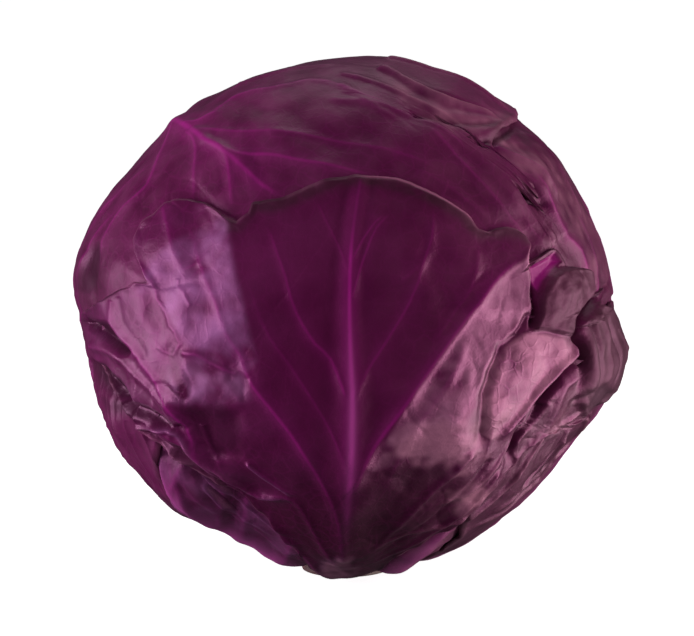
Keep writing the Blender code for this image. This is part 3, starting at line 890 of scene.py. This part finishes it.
def carve(q, px, py, face):
    """Deep gaps (mm, negative) shared by every layer, and the painted shade laid in them.
    """
    out = np.zeros(len(q))
    dark = np.zeros(len(q))

    def slot(line, reach, depth, width, fade, shade):
        ids, dist, side, run = line.near(q, reach)
        g = np.exp(-(dist / width) ** 2) * fade(run)
        out[ids] -= depth * g
        dark[ids] = np.maximum(dark[ids], shade * np.minimum(1, 1.3 * g))

    # the crevice, hole and tear are cut deep and darkened with painted shade
    slot(CREVICE, 9, 3.8, 1.8, lambda r: smooth((1 - r) / 0.35), 1.0)
    slot(HOLE, 5, 1.4, 0.8, lambda r: smooth((1 - r) / 0.5), 0.9)
    slot(TEAR, 9, 2.6, 0.90, lambda r: smooth((r - 0.25) / 0.3)
         * smooth((1 - r) / 0.12), 1.0)
    v = patch_depth(px, py, VALLEY)
    out -= (face > 0) * 1.5 * smooth((v + 1.5) / 6)
    rag = 6.0 * noise(q * 13.0, 141)
    # each gully is sunk and darkened with painted shade
    for depth, shade, soft, pts in GULLIES:
        inside = patch_depth(px, py, pts) + (rag if soft > 5 else 0)
        g = (face > 0) * smooth((inside + soft) / (soft + 4.0))
        out -= depth * g
        dark = np.maximum(dark, shade * g)
    return out, dark


def tear_shape(q, px, py, face):
    """Lift of the front leaf round its torn right-hand corner (mm)."""
    lift = np.zeros(len(q))
    ids, dist, side, run = TEAR.near(q, 22)
    lift[ids] += np.where(side < 0, 1.7 * np.exp(-dist / 4.0), 0) * smooth(
        (1 - run) / 0.3)
    on = face > -0.1
    f = patch_depth(px, py, FLAP)
    flap = on * smooth((f + 2.5) / 6.5)
    bulge = np.exp(-(((px - 568) / 17) ** 2 + ((py - 288) / 17) ** 2))
    p = q * 1.0
    lift += flap * (1.9 + 1.7 * bulge + 1.3 * fbm(p * 11, 3, 131))
    r = patch_depth(px, py, RIM)
    rim = on * smooth((r + 2.0) / 8.0)
    flow = np.stack([(px + 0.30 * py) * 0.060, py * 0.012, 0 * px], 1)
    lift += rim * (1.7 + 1.9 * noise(flow, 132) + 1.0 * noise(flow * 2.1, 133))
    return lift, flap, rim


# ---------------------------------------------------------------- materials
def material(name, dark, mid, magenta, seed, rough=0.37):
    mat = bpy.data.materials.new(name)
    mat.use_nodes = True
    nt = mat.node_tree
    nodes, links = nt.nodes, nt.links
    nodes.clear()
    out = nodes.new("ShaderNodeOutputMaterial")
    bsdf = nodes.new("ShaderNodeBsdfPrincipled")
    links.new(bsdf.outputs[0], out.inputs[0])
    coord = nodes.new("ShaderNodeTexCoord")

    def attr(n):
        a = nodes.new("ShaderNodeAttribute")
        a.attribute_name = n
        return a.outputs["Fac"]

    def math_(op, a, b=None, clamp=False):
        m = nodes.new("ShaderNodeMath")
        m.operation, m.use_clamp = op, clamp
        for i, v in enumerate((a, b)):
            if v is None:
                continue
            if isinstance(v, (int, float)):
                m.inputs[i].default_value = v
            else:
                links.new(v, m.inputs[i])
        return m.outputs[0]

    def mix(fac, a, b):
        m = nodes.new("ShaderNodeMix")
        m.data_type = "RGBA"
        for sock, v in ((m.inputs[0], fac), (m.inputs[6], a), (m.inputs[7], b)):
            if isinstance(v, (tuple, list)):
                sock.default_value = (*v, 1)
            elif isinstance(v, (int, float)):
                sock.default_value = v
            else:
                links.new(v, sock)
        return m.outputs[2]

    def tex_noise(scale, detail, w=0.5):
        t = nodes.new("ShaderNodeTexNoise")
        t.inputs["Scale"].default_value = scale
        t.inputs["Detail"].default_value = detail
        t.inputs["Roughness"].default_value = w
        links.new(coord.outputs["Object"], t.inputs["Vector"])
        return t.outputs["Fac"]

    def web(scale, width):
        """Thin lines of a vein net, 1 on a line."""
        n = nodes.new("ShaderNodeTexNoise")
        n.inputs["Scale"].default_value = scale * 0.8
        n.inputs["Detail"].default_value = 2
        links.new(coord.outputs["Object"], n.inputs["Vector"])
        add = nodes.new("ShaderNodeVectorMath")
        add.operation = "MULTIPLY_ADD"
        links.new(n.outputs["Color"], add.inputs[0])
        k = 0.55 / scale
        add.inputs[1].default_value = (k, k, k)
        links.new(coord.outputs["Object"], add.inputs[2])
        v = nodes.new("ShaderNodeTexVoronoi")
        v.feature = "DISTANCE_TO_EDGE"
        v.inputs["Scale"].default_value = scale
        links.new(add.outputs[0], v.inputs["Vector"])
        r = nodes.new("ShaderNodeMapRange")
        r.inputs["From Min"].default_value = 0.0
        r.inputs["From Max"].default_value = width
        r.inputs["To Min"].default_value = 1.0
        r.inputs["To Max"].default_value = 0.0
        links.new(v.outputs["Distance"], r.inputs["Value"])
        return r.outputs[0]

    vein, rib, band = attr("vein"), attr("rib"), attr("band")
    bloom_and_highlight, edge_highlight, tone = attr("bloom_and_highlight"), attr("edge_highlight"), attr("tone")
    blot = tex_noise(38 + seed, 3)
    speck = tex_noise(420, 4, 0.6)
    t = math_("ADD", tone, math_("MULTIPLY", math_("SUBTRACT", blot, 0.5), 0.9),
              True)
    col = mix(t, dark, mid)
    # the low mask: painted shade towards the bottom and in recesses, and a darker curled
    # rim
    col = mix(attr("low"), col, (0.040, 0.0014, 0.014))
    net = web(215, 0.09)
    net2 = web(560, 0.15)
    lines = math_("MULTIPLY", math_("ADD", math_("MULTIPLY", net, 0.9),
                                    math_("MULTIPLY", net2, 0.4)),
                  math_("MULTIPLY", attr("net"), 0.34))
    col = mix(lines, col, magenta)
    col = mix(vein, col, magenta)
    col = mix(band, col, (0.030, 0.011, 0.012))
    # dusty waxy bloom, and painted highlight where the patches stand in for the lamps'
    # reflections
    col = mix(math_("MULTIPLY", bloom_and_highlight, math_("ADD", math_(
        "MULTIPLY", speck, 0.7), 0.55)), col, mix(attr("warm"),
        (0.40, 0.130, 0.36), (0.57, 0.205, 0.325)))
    col = mix(rib, col, (0.74, 0.12, 0.50))
    # painted shade: near-black in grooves, gaps, pleats and pucker hollows
    col = mix(math_("MULTIPLY", attr("deep"), 0.9), col,
              (0.018, 0.0012, 0.008))
    # painted highlight along lit leaf edges
    col = mix(edge_highlight, col, (0.66, 0.20, 0.38))
    links.new(col, bsdf.inputs["Base Color"])
    ro = nodes.new("ShaderNodeMapRange")
    ro.inputs["From Min"].default_value = 0.3
    ro.inputs["From Max"].default_value = 0.75
    ro.inputs["To Min"].default_value = rough - 0.05
    ro.inputs["To Max"].default_value = rough + 0.10
    links.new(blot, ro.inputs["Value"])
    links.new(math_("ADD", ro.outputs[0], math_("MULTIPLY", band, 0.35), True),
              bsdf.inputs["Roughness"])
    bsdf.inputs["Specular IOR Level"].default_value = 0.55
    bsdf.inputs["Specular Tint"].default_value = (1.0, 0.31, 0.68, 1)
    bsdf.inputs["Sheen Weight"].default_value = 0.02
    bsdf.inputs["Sheen Roughness"].default_value = 0.4
    bsdf.inputs["Sheen Tint"].default_value = (0.9, 0.7, 0.9, 1)
    grain = tex_noise(900, 3, 0.55)
    lump = tex_noise(170, 3, 0.5)
    h = math_("ADD", math_("MULTIPLY", math_("MULTIPLY", net, attr("net")),
                           0.45),
              math_("ADD", math_("MULTIPLY", net2, 0.06),
                    math_("ADD", math_("MULTIPLY", lump, 1.2),
                          math_("MULTIPLY", grain, 0.12))))
    bump = nodes.new("ShaderNodeBump")
    bump.inputs["Strength"].default_value = 0.50
    bump.inputs["Distance"].default_value = 0.00035
    links.new(h, bump.inputs["Height"])
    links.new(bump.outputs[0], bsdf.inputs["Normal"])
    return mat


# ------------------------------------------------------------------- meshes
def disc_grid(n):
    a, b = np.meshgrid(np.linspace(-1, 1, n + 1), np.linspace(-1, 1, n + 1))
    r = np.where(np.abs(a) > np.abs(b), a, b)
    with np.errstate(divide="ignore", invalid="ignore"):
        phi = np.where(np.abs(a) > np.abs(b), math.pi / 4 * b / a,
                       math.pi / 2 - math.pi / 4 * a / b)
    phi = np.where(r == 0, 0, phi)
    phi = np.where(r < 0, phi + math.pi, phi)
    return np.abs(r).ravel(), phi.ravel()


def square_faces(n, base, flip):
    i, j = np.meshgrid(np.arange(n), np.arange(n))
    a = (base + j * (n + 1) + i).ravel()
    f = np.stack([a, a + 1, a + n + 2, a + n + 1], 1)
    return f[:, ::-1] if flip else f


def boundary(n, step):
    """Indices round the edge of an (n+1) square grid, every step cells."""
    k = np.arange(0, n, step)
    w = n + 1
    return np.concatenate([k, k * w + n, n * w + n - k, (n - k) * w])


def make_object(name, verts, quads, tris, attrs, mat, node):
    mesh = bpy.data.meshes.new(name)
    mesh.vertices.add(len(verts))
    mesh.vertices.foreach_set("co", np.asarray(verts, np.float32).ravel())
    loops = np.concatenate([quads.ravel(), tris.ravel()]).astype(np.int32)
    sizes = np.concatenate([np.full(len(quads), 4), np.full(len(tris), 3)])
    mesh.loops.add(len(loops))
    mesh.loops.foreach_set("vertex_index", loops)
    mesh.polygons.add(len(sizes))
    starts = np.concatenate([[0], np.cumsum(sizes)[:-1]]).astype(np.int32)
    mesh.polygons.foreach_set("loop_start", starts)
    mesh.polygons.foreach_set("use_smooth", np.ones(len(sizes), bool))
    mesh.update(calc_edges=True)
    mesh.validate()
    for key, val in attrs.items():
        a = mesh.attributes.new(key, "FLOAT", "POINT")
        a.data.foreach_set("value", np.asarray(val, np.float32))
    mesh.materials.append(mat)
    obj = bpy.data.objects.new(name, mesh)
    bpy.context.scene.collection.objects.link(obj)
    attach(obj, "root")
    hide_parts(node)
    return obj


# dusty bloom patches, several laid where the lamps' highlights fall and so partly painted
# highlight: leaf, strength, softness (sheet units), warmth, vein net, edge
BLOOM_AND_HIGHLIGHT_PATCHES = [
    (0, 0.40, 5, 0.0, 0.3, [(140, 292), (150, 262), (180, 240), (228, 216),
     (236, 268), (245, 312), (256, 360), (246, 372), (222, 352), (202, 350),
     (184, 342), (170, 318), (157, 300)]),
    (0, 0.10, 7, 0.1, 0.3, [(102, 302), (132, 290), (152, 296), (168, 330),
     (182, 346), (170, 372), (150, 366), (118, 330)]),
    (0, 0.90, 14, 0.2, 0.3, [(172, 368), (200, 360), (236, 378), (244, 392),
     (228, 398), (210, 392), (192, 400), (176, 388)]),
    (0, 0.12, 5, 0.4, 0.3, [(94, 334), (130, 354), (165, 400), (172, 425),
     (140, 408), (108, 372)]),
    (0, 0.08, 9, 0.6, 0.3, [(110, 410), (150, 425), (200, 455), (240, 490),
     (215, 515), (170, 500), (130, 450)]),
    (0, 0.46, 3, 0.7, 0.3, [(523, 258), (490, 285), (455, 332), (420, 382),
     (390, 430), (372, 468), (400, 466), (450, 430), (478, 392), (492, 352),
     (522, 312), (530, 285)]),
    (0, 0.92, 3, 0.9, 0.7, [(502, 350), (524, 334), (574, 338), (572, 356),
     (545, 384), (530, 402), (495, 440), (483, 436), (483, 394), (492, 365)]),
    (0, 0.95, 8, 0.9, 0.3, [(388, 452), (402, 426), (440, 418), (476, 430),
     (482, 456), (466, 474), (430, 468), (404, 462)]),
    (0, 0.40, 7, 0.9, 0.3, [(448, 492), (470, 484), (492, 488), (480, 508),
     (456, 516)]),
    (0, 0.35, 6, 0.8, 0.1, [(318, 567), (338, 552), (350, 556), (356, 568),
     (338, 578)]),
    (0, 0.40, 4, 1.0, 0.1, [(460, 497), (482, 488), (490, 495), (470, 507)]),
    (0, 0.08, 5, 1.0, 0.2, [(588, 325), (600, 310), (618, 345), (605, 380),
     (592, 395)]),
    (0, 0.14, 4, 1.0, 0.2, [(545, 425), (560, 395), (574, 385), (566, 425),
     (545, 455)]),
    (1, 0.26, 9, 1.0, 0.2, [(380, 78), (440, 98), (505, 122), (470, 135),
     (420, 112)]),
    (1, 0.06, 12, 0.7, 0.2, [(230, 110), (290, 84), (350, 82), (400, 110),
     (320, 120), (250, 125)]),
    (2, 0.28, 9, 1.0, 0.2, [(490, 138), (520, 138), (560, 172), (590, 226),
     (602, 280), (572, 226), (545, 190)]),
]


def masks(q, leaf, rho_hat, got):
    relief, vein, pale, ins, mask, (px, py, face), more = got
    broad, mid_n, fine, deep, strand_highlight = more
    k = leaf.index
    f = ins[k]
    band = np.zeros(len(q))
    edge_highlight = np.zeros(len(q))
    vein = vein.copy()
    tone = 0.45 + 0.5 * broad + 0.2 * mid_n
    fr = smooth(face / 0.25)

    def blob(x, y, a, b):
        return fr * np.exp(-(((px - x) / a) ** 2 + ((py - y) / b) ** 2))

    bloom_and_highlight = 0.02 + 0.05 * smooth(mid_n * 2 + 0.4)
    # hue of the bloom and of the painted highlights, warmer to the right
    warm = smooth((px - 250) / 200)
    net = np.zeros(len(q)) + 0.25
    # low mask: painted shade towards the bottom of the head, on the side leaves tucked low
    # behind the front leaf and in a few recesses; it also darkens the curled rim
    low = 0.8 * smooth((58 - angle_to(q, DOWN)) / 34)
    if k == 0:
        bloom_and_highlight = bloom_and_highlight * (1 - 0.95 * blob(330, 330, 120, 190))
        # an even tone over the centre; towards the bottom, painted shade: the tone
        # darkens, vein and rib colour fade and the low mask rises
        tone = tone * (1 - 0.8 * blob(330, 320, 120, 160)) + 0.40 * blob(
            330, 320, 120, 160) - 0.35 * blob(330, 560, 150, 60)
        net = net * (1 - 0.8 * blob(330, 320, 110, 180))
        vein = vein * (1 - 0.75 * fr * smooth((py - 440) / 70))
        low = np.maximum(low, 0.9 * blob(335, 545, 150, 80))
        bloom_and_highlight = bloom_and_highlight * (1 - 0.9 * low)
        cool = blob(335, 330, 125, 190)
        pale = pale * (1 - 0.8 * fr * smooth((py - 430) / 70))
        deep = deep * (1 - 0.8 * cool)
        ids, dist, side, run = MARGIN_BAND.near(q, 9)
        ed = smooth((run - 0.0) / 0.08)
        nz = 0.6 + 0.8 * mid_n[ids] + 0.9 * fine[ids]
        band[ids] = np.maximum(band[ids], 0.62 * ed * smooth(nz + 0.5)
                               * np.exp(-(np.maximum(dist - 1.6, 0) / 1.7)
                                        ** 2))
        # painted highlight along the front leaf's top edge
        ids, dist, side, run = BRIGHT_EDGE.near(q, 3)
        edge_highlight[ids] = 0.6 * np.exp(-(dist / 0.45) ** 2) * smooth(run / .2)
    if k == 1:
        warm = np.maximum(warm, 0.6)
        tone = tone + 0.05
    uneven = 1 + 1.5 * mid_n + 0.8 * broad + 1.0 * fine
    rag = 9.0 * noise(q * 13.0, 141) + 5.0 * fine
    # the patches add dusty bloom and painted highlight
    for who, amount, soft, tint, mesh, pts in BLOOM_AND_HIGHLIGHT_PATCHES:
        if who != k:
            continue
        inside = patch_depth(px, py, pts) + (rag if soft > 5 else 0)
        e = fr * smooth((inside + soft) / (2 * soft))
        bloom_and_highlight = bloom_and_highlight + amount * e * uneven
        if tint is not None:
            warm = warm * (1 - e) + tint * e
        net = net * (1 - e) + mesh * e
    if k == 0:
        r = smooth((patch_depth(px, py, RIM) + 3) / 6)
        low = np.maximum(low, 0.5 * r * (face > -0.1))
    if k == 2:
        # painted shade on the lower part of the right leaf
        low = np.maximum(low, 0.6 * fr * smooth((py - 380) / 30))
    if k in (3, 5):
        # painted shade on the low side leaves where they face the front
        low = np.maximum(low, 0.6 * fr)
        vein = vein * (1 - 0.4 * fr)
        bloom_and_highlight = bloom_and_highlight + 0.10 * fr * uneven
    # adds the painted highlight of the strands
    bloom_and_highlight = np.clip(bloom_and_highlight + strand_highlight, 0, 1)
    # painted shade in three recesses
    low = np.maximum(low, 0.6 * blob(84, 285, 16, 45))
    low = np.maximum(low, 0.7 * blob(580, 402, 22, 18))
    low = np.maximum(low, 0.7 * blob(546, 438, 24, 24))
    edge = np.exp(-(np.maximum(f, 0) / 1.1) ** 2)
    dry = smooth(noise(q * 7.0, 70 + k) * 2 + 0.35)
    if k > 0:
        band = np.maximum(band, 0.7 * dry * np.exp(-(np.maximum(f, 0) / 2.6)
                                                   ** 2))
    else:
        band = np.maximum(band, 0.5 * dry * np.exp(-(np.maximum(f, 0) / 1.8)
                                                   ** 2))
    # painted highlight along every leaf margin where it is not dry
    edge_highlight = np.maximum(edge_highlight, 0.22 * edge * (1 - dry))
    return {"vein": vein, "rib": pale, "band": band, "bloom_and_highlight": bloom_and_highlight,
            "edge_highlight": edge_highlight, "tone": tone, "warm": warm, "net": net,
            "deep": deep, "low": low}


def make_leaf(leaf, mat):
    n = leaf.grid
    rh, phi = disc_grid(n)
    edge = np.interp(phi, leaf.phi, leaf.rho, period=2 * math.pi)
    calm = np.interp(phi, leaf.phi, leaf.calm, period=2 * math.pi)
    rho = rh * (calm + (edge - calm) * rh ** 2)
    q = leaf.at(rho, phi)
    got = fields(q)
    relief, ins, mask = got[0], got[3], got[4]
    base, under = stack(q, ins)
    f = np.maximum((edge - rho) * DEG, 0)
    shown = np.ones(len(q))
    for g in ins[:leaf.index]:
        shown = shown * smooth((-g - 0.2) / 5)
    collar = smooth((angle_to(q, DOWN) - COLLAR - 2) / 12)
    ruffle = np.maximum(fbm(q * 10, 2, 80 + leaf.index) * 1.6 + 0.25, 0)
    lift = shown * collar * ruffle * 1.1 * np.exp(-(f / 2.6) ** 2)
    at = masks(q, leaf, rh, got)
    if leaf.index == 0:
        px, py, face = got[5]
        more, flap, rim = tear_shape(q, px, py, face)
        lift = lift + more
        at["band"] = np.maximum(at["band"], 0.52 * flap)
        at["band"] = np.maximum(at["band"], 0.52 * rim)
        at["bloom_and_highlight"] = at["bloom_and_highlight"] * (1 - 0.7 * flap) + 0.05 * flap
        at["bloom_and_highlight"] = at["bloom_and_highlight"] * (1 - 0.7 * rim)
        v = (face > 0) * smooth((patch_depth(px, py, VALLEY) + 1) / 3)
        at["vein"] = np.maximum(at["vein"], 0.85 * v)
        at["bloom_and_highlight"] = at["bloom_and_highlight"] * (1 - 0.8 * v)
        # painted highlight along the lifted edge of the tear
        ids, dist, side, run = TEAR.near(q, 3)
        white = np.exp(-(dist / 0.5) ** 2) * smooth((0.62 - run) / 0.2)
        at["edge_highlight"][ids] = np.maximum(at["edge_highlight"][ids],
                                       white * (side < 0))
    if leaf.index == 1:
        px, py, face = got[5]
        quiet = np.exp(-(((px - 503) / 20) ** 2 + ((py - 168) / 26) ** 2))
        lift = lift * (1 - 0.8 * quiet)
        at["band"] = at["band"] * (1 - quiet)
        at["edge_highlight"] = at["edge_highlight"] * (1 - quiet)
        for x, y, w, h in ((494, 127, 4.0, 0.8), (512, 120, 4.0, 1.2)):
            a = angle_to(q, sheet([(x, y)])[0]) * DEG
            lift = lift + h * np.exp(-(a / w) ** 2)
    thick = BLADE * (0.35 + 0.65 * smooth(f / 1.6))
    low = under[leaf.index] + relief + lift
    outer = q * ((low + thick) * MM)[:, None]
    # coarser underside, sharing every fourth edge point
    c = 4
    pick = (np.arange(0, n + 1, c)[:, None] * (n + 1)
            + np.arange(0, n + 1, c)[None]).ravel()
    inner = q[pick] * (low[pick] * MM)[:, None]
    verts = np.concatenate([outer, inner]) + np.array([0, 0, CENTRE_Z])
    m = n // c
    big = len(outer)
    quads = np.concatenate([square_faces(n, 0, False),
                            square_faces(m, big, True)])
    fine_b = boundary(n, 1)
    coarse_b = big + boundary(m, 1)
    tris = []
    for s in range(len(coarse_b)):
        a, b = coarse_b[s], coarse_b[(s + 1) % len(coarse_b)]
        for t in range(c):
            u = fine_b[s * c + t]
            v = fine_b[(s * c + t + 1) % len(fine_b)]
            tris.append((v, u, a if t < c // 2 else b))
        tris.append((fine_b[s * c + c // 2], a, b))
    attrs = {k: np.concatenate([v, v[pick]]) for k, v in at.items()}
    return make_object("skin_" + leaf.name, verts, quads, np.array(tris),
                       attrs, mat, leaf.name)


def make_inner_head(mat):
    n_az, n_el = 180, 90
    el = np.linspace(-90, 90, n_el + 1)[1:-1]
    az = np.arange(n_az) * 360 / n_az
    A, E = np.meshgrid(az, el)
    q = direction(A.ravel(), E.ravel())
    q = np.concatenate([q, [[0, 0, -1.0], [0, 0, 1.0]]])
    got = fields(q)
    base, under = stack(q, got[3])
    verts = q * ((base + got[0] - 0.4) * MM)[:, None] + np.array(
        [0, 0, CENTRE_Z])
    rows = len(el)
    i, j = np.meshgrid(np.arange(n_az), np.arange(rows - 1))
    a = (j * n_az + i).ravel()
    b = (j * n_az + (i + 1) % n_az).ravel()
    quads = np.stack([a, b, b + n_az, a + n_az], 1)
    s, t = rows * n_az, rows * n_az + 1
    k = np.arange(n_az)
    k2 = (k + 1) % n_az
    top = (rows - 1) * n_az
    tris = np.concatenate([np.stack([k2, k, np.full(n_az, s)], 1),
                           np.stack([top + k, top + k2, np.full(n_az, t)], 1)])
    z = np.zeros(len(q))
    attrs = {"vein": z, "rib": z, "band": z, "bloom_and_highlight": z + 0.05, "edge_highlight": z,
             "tone": z + 0.3, "warm": z + 0.5, "net": z + 0.3, "deep": z, "low": z}
    return make_object("skin_inner_head", verts, quads, tris, attrs, mat,
                       "inner_head")


def make_stump():
    """Cut stem: flat cut face with a shallow fibrous grain and a bark-like
    rim."""
    n, rings = 160, 26
    verts, quads, tris = [], [], []
    rim = math.tan(math.radians(10.6))
    a = np.arange(n) * 2 * math.pi / n
    wob = 1 + 0.035 * np.sin(2 * a + 0.6) + 0.02 * np.sin(3 * a)
    prof = [(r / rings, 0.0) for r in range(1, rings)]
    prof += [(0.985, 0.15 * MM), (1.0, 0.5 * MM)]
    prof += [(1.0 + 0.012 * math.sin(z * 2.1), z * MM)
             for z in np.arange(1.0, 12.1, 0.6)]
    pts = []
    for k, (w, z) in enumerate(prof):
        r = (CENTRE_Z - z) * rim * 0.94 * wob * w
        d = np.stack([np.cos(a), np.sin(a), 0 * a + k * 0.2], 1)
        bumpy = fbm(d * 5, 2, 7) * (0.25 if z > 0.4 * MM else 0.0)
        r = r * (1 + 0.06 * bumpy)
        zz = z + (np.maximum(fbm(np.stack([r * 500 * np.cos(a), r * 500
                  * np.sin(a), 0 * a], 1), 2, 9), 0) * 0.25 * MM
                  if z == 0.0 and w < 0.93 else 0)
        pts.append(np.stack([r * np.cos(a), r * np.sin(a), z * 0 + zz + 0 * a],
                            1))
    verts = np.concatenate(pts + [[[0, 0, 0.1 * MM]], [[0, 0, 12.6 * MM]]])
    rows = len(prof)
    k = np.arange(n)
    k2 = (k + 1) % n
    for j in range(rows - 1):
        quads.append(np.stack([j * n + k2, j * n + k, (j + 1) * n + k,
                               (j + 1) * n + k2], 1))
    s, t = rows * n, rows * n + 1
    tris = np.concatenate([
        np.stack([k, k2, np.full(n, s)], 1)[:, ::-1],
        np.stack([(rows - 1) * n + k, (rows - 1) * n + k2,
                  np.full(n, t)], 1)])
    mat = bpy.data.materials.new("cut_stem")
    mat.use_nodes = True
    nt = mat.node_tree
    bsdf = nt.nodes["Principled BSDF"]
    coord = nt.nodes.new("ShaderNodeTexCoord")
    nz = nt.nodes.new("ShaderNodeTexNoise")
    nz.inputs["Scale"].default_value = 260
    nz.inputs["Detail"].default_value = 5
    nt.links.new(coord.outputs["Object"], nz.inputs["Vector"])
    grad = nt.nodes.new("ShaderNodeAttribute")
    grad.attribute_name = "rimward"
    ramp = nt.nodes.new("ShaderNodeValToRGB")
    ramp.color_ramp.elements[0].color = (0.60, 0.52, 0.34, 1)
    ramp.color_ramp.elements[1].color = (0.16, 0.06, 0.07, 1)
    ramp.color_ramp.elements[1].position = 1.0
    e = ramp.color_ramp.elements.new(0.72)
    e.color = (0.50, 0.45, 0.27, 1)
    e = ramp.color_ramp.elements.new(0.86)
    e.color = (0.40, 0.30, 0.25, 1)
    nt.links.new(grad.outputs["Fac"], ramp.inputs["Fac"])
    mx = nt.nodes.new("ShaderNodeMix")
    mx.data_type = "RGBA"
    mx.blend_type = "MULTIPLY"
    mx.inputs[0].default_value = 0.55
    nt.links.new(ramp.outputs[0], mx.inputs[6])
    nt.links.new(nz.outputs["Color"], mx.inputs[7])
    nt.links.new(mx.outputs[2], bsdf.inputs["Base Color"])
    bsdf.inputs["Roughness"].default_value = 0.7
    rad = np.hypot(verts[:, 0], verts[:, 1]) / (CENTRE_Z * rim * 0.94)
    rimward = np.clip(rad, 0, 1)
    rimward[verts[:, 2] > 0.6 * MM] = 1.0
    return make_object("skin_stump", verts, np.concatenate(quads), tris,
                       {"rimward": rimward}, mat, "stump")


DARK = (0.074, 0.0028, 0.034)
MID = (0.152, 0.0062, 0.076)
MAGENTA = (0.410, 0.0110, 0.240)
for leaf in leaves:
    s = leaf.index
    k = 1 + 0.05 * math.sin(2.3 * s)
    make_leaf(leaf, material(
        "leaf_" + leaf.name, tuple(v * k for v in DARK),
        tuple(v * k for v in MID), MAGENTA, s,
        0.37 if s == 0 else 0.43 if s < 3 else 0.50))
make_inner_head(material("leaf_inner_head", DARK, MID, MAGENTA, 9))
make_stump()

# ------------------------------------------------------- floor, light, view
scene = bpy.context.scene
scene.view_settings.view_transform = "Standard"
scene.view_settings.look = "None"

bpy.ops.mesh.primitive_plane_add(size=30, location=(0, 0, 0))
floor = bpy.context.object
floor.name = "floor"
fm = bpy.data.materials.new("floor")
fm.use_nodes = True
fb = fm.node_tree.nodes["Principled BSDF"]
fb.inputs["Base Color"].default_value = (0.86, 0.86, 0.86, 1)
fb.inputs["Roughness"].default_value = 0.9
fb.inputs["Specular IOR Level"].default_value = 0.1
fb.inputs["Emission Color"].default_value = (1, 1, 1, 1)
fb.inputs["Emission Strength"].default_value = 0.90
floor.data.materials.append(fm)
floor.visible_glossy = False
floor.visible_diffuse = False
floor.visible_shadow = False


def softbox(name, az, el, dist, w, h, radiance, tint, glossy=True):
    d = direction(np.float64(az), np.float64(el))
    data = bpy.data.lights.new(name, "AREA")
    data.shape = "RECTANGLE"
    data.size, data.size_y = w, h
    data.energy = radiance * math.pi * w * h
    data.color = tint
    obj = bpy.data.objects.new(name, data)
    obj.location = Vector(d * dist) + Vector((0, 0, CENTRE_Z))
    obj.rotation_mode = "QUATERNION"
    obj.rotation_quaternion = Vector(d).to_track_quat("Z", "Y")
    obj.visible_camera = False
    obj.visible_glossy = glossy
    scene.collection.objects.link(obj)
    return obj


softbox("left_box", 192, 1, 0.60, 0.46, 0.38, 5.7, (0.97, 0.94, 1.0))
softbox("right_box", 356, 3, 0.60, 0.54, 0.36, 3.7, (1.0, 0.93, 0.88))
glow = softbox("low_glow", 350, -28, 0.60, 0.54, 0.38, 6.0, (1.0, 0.92, 0.88))
glow.visible_diffuse = False
softbox("top_box", 80, 60, 0.80, 0.60, 0.35, 1.3, (1.0, 0.97, 0.94))
softbox("front_fill", 265, 38, 1.2, 0.9, 0.9, 0.95, (1.0, 0.98, 0.98), False)

world = bpy.data.worlds.new("studio")
scene.world = world
world.use_nodes = True
wn, wl = world.node_tree.nodes, world.node_tree.links
wn.clear()
wo = wn.new("ShaderNodeOutputWorld")
bg = wn.new("ShaderNodeBackground")
lp = wn.new("ShaderNodeLightPath")
m1 = wn.new("ShaderNodeMix")
m1.data_type = "RGBA"
m1.inputs[6].default_value = (0.15, 0.15, 0.155, 1)
m1.inputs[7].default_value = (0.030, 0.030, 0.031, 1)
wl.new(lp.outputs["Is Glossy Ray"], m1.inputs[0])
m2 = wn.new("ShaderNodeMix")
m2.data_type = "RGBA"
m2.inputs[7].default_value = (1.0, 1.0, 1.0, 1)
wl.new(lp.outputs["Is Camera Ray"], m2.inputs[0])
wl.new(m1.outputs[2], m2.inputs[6])
wl.new(m2.outputs[2], bg.inputs["Color"])
wl.new(bg.outputs[0], wo.inputs[0])

cam_data = bpy.data.cameras.new("front_view")
cam_data.sensor_width = 36
cam_data.lens = SHEET_F / 694 * 36
cam_data.clip_start, cam_data.clip_end = 0.05, 60
cam = bpy.data.objects.new("front_view", cam_data)
cam.location = Vector(TOW * VIEW_D) + Vector((0, 0, CENTRE_Z))
cam.rotation_mode = "QUATERNION"
cam.rotation_quaternion = Vector(TOW).to_track_quat("Z", "Y")
scene.collection.objects.link(cam)
scene.camera = cam
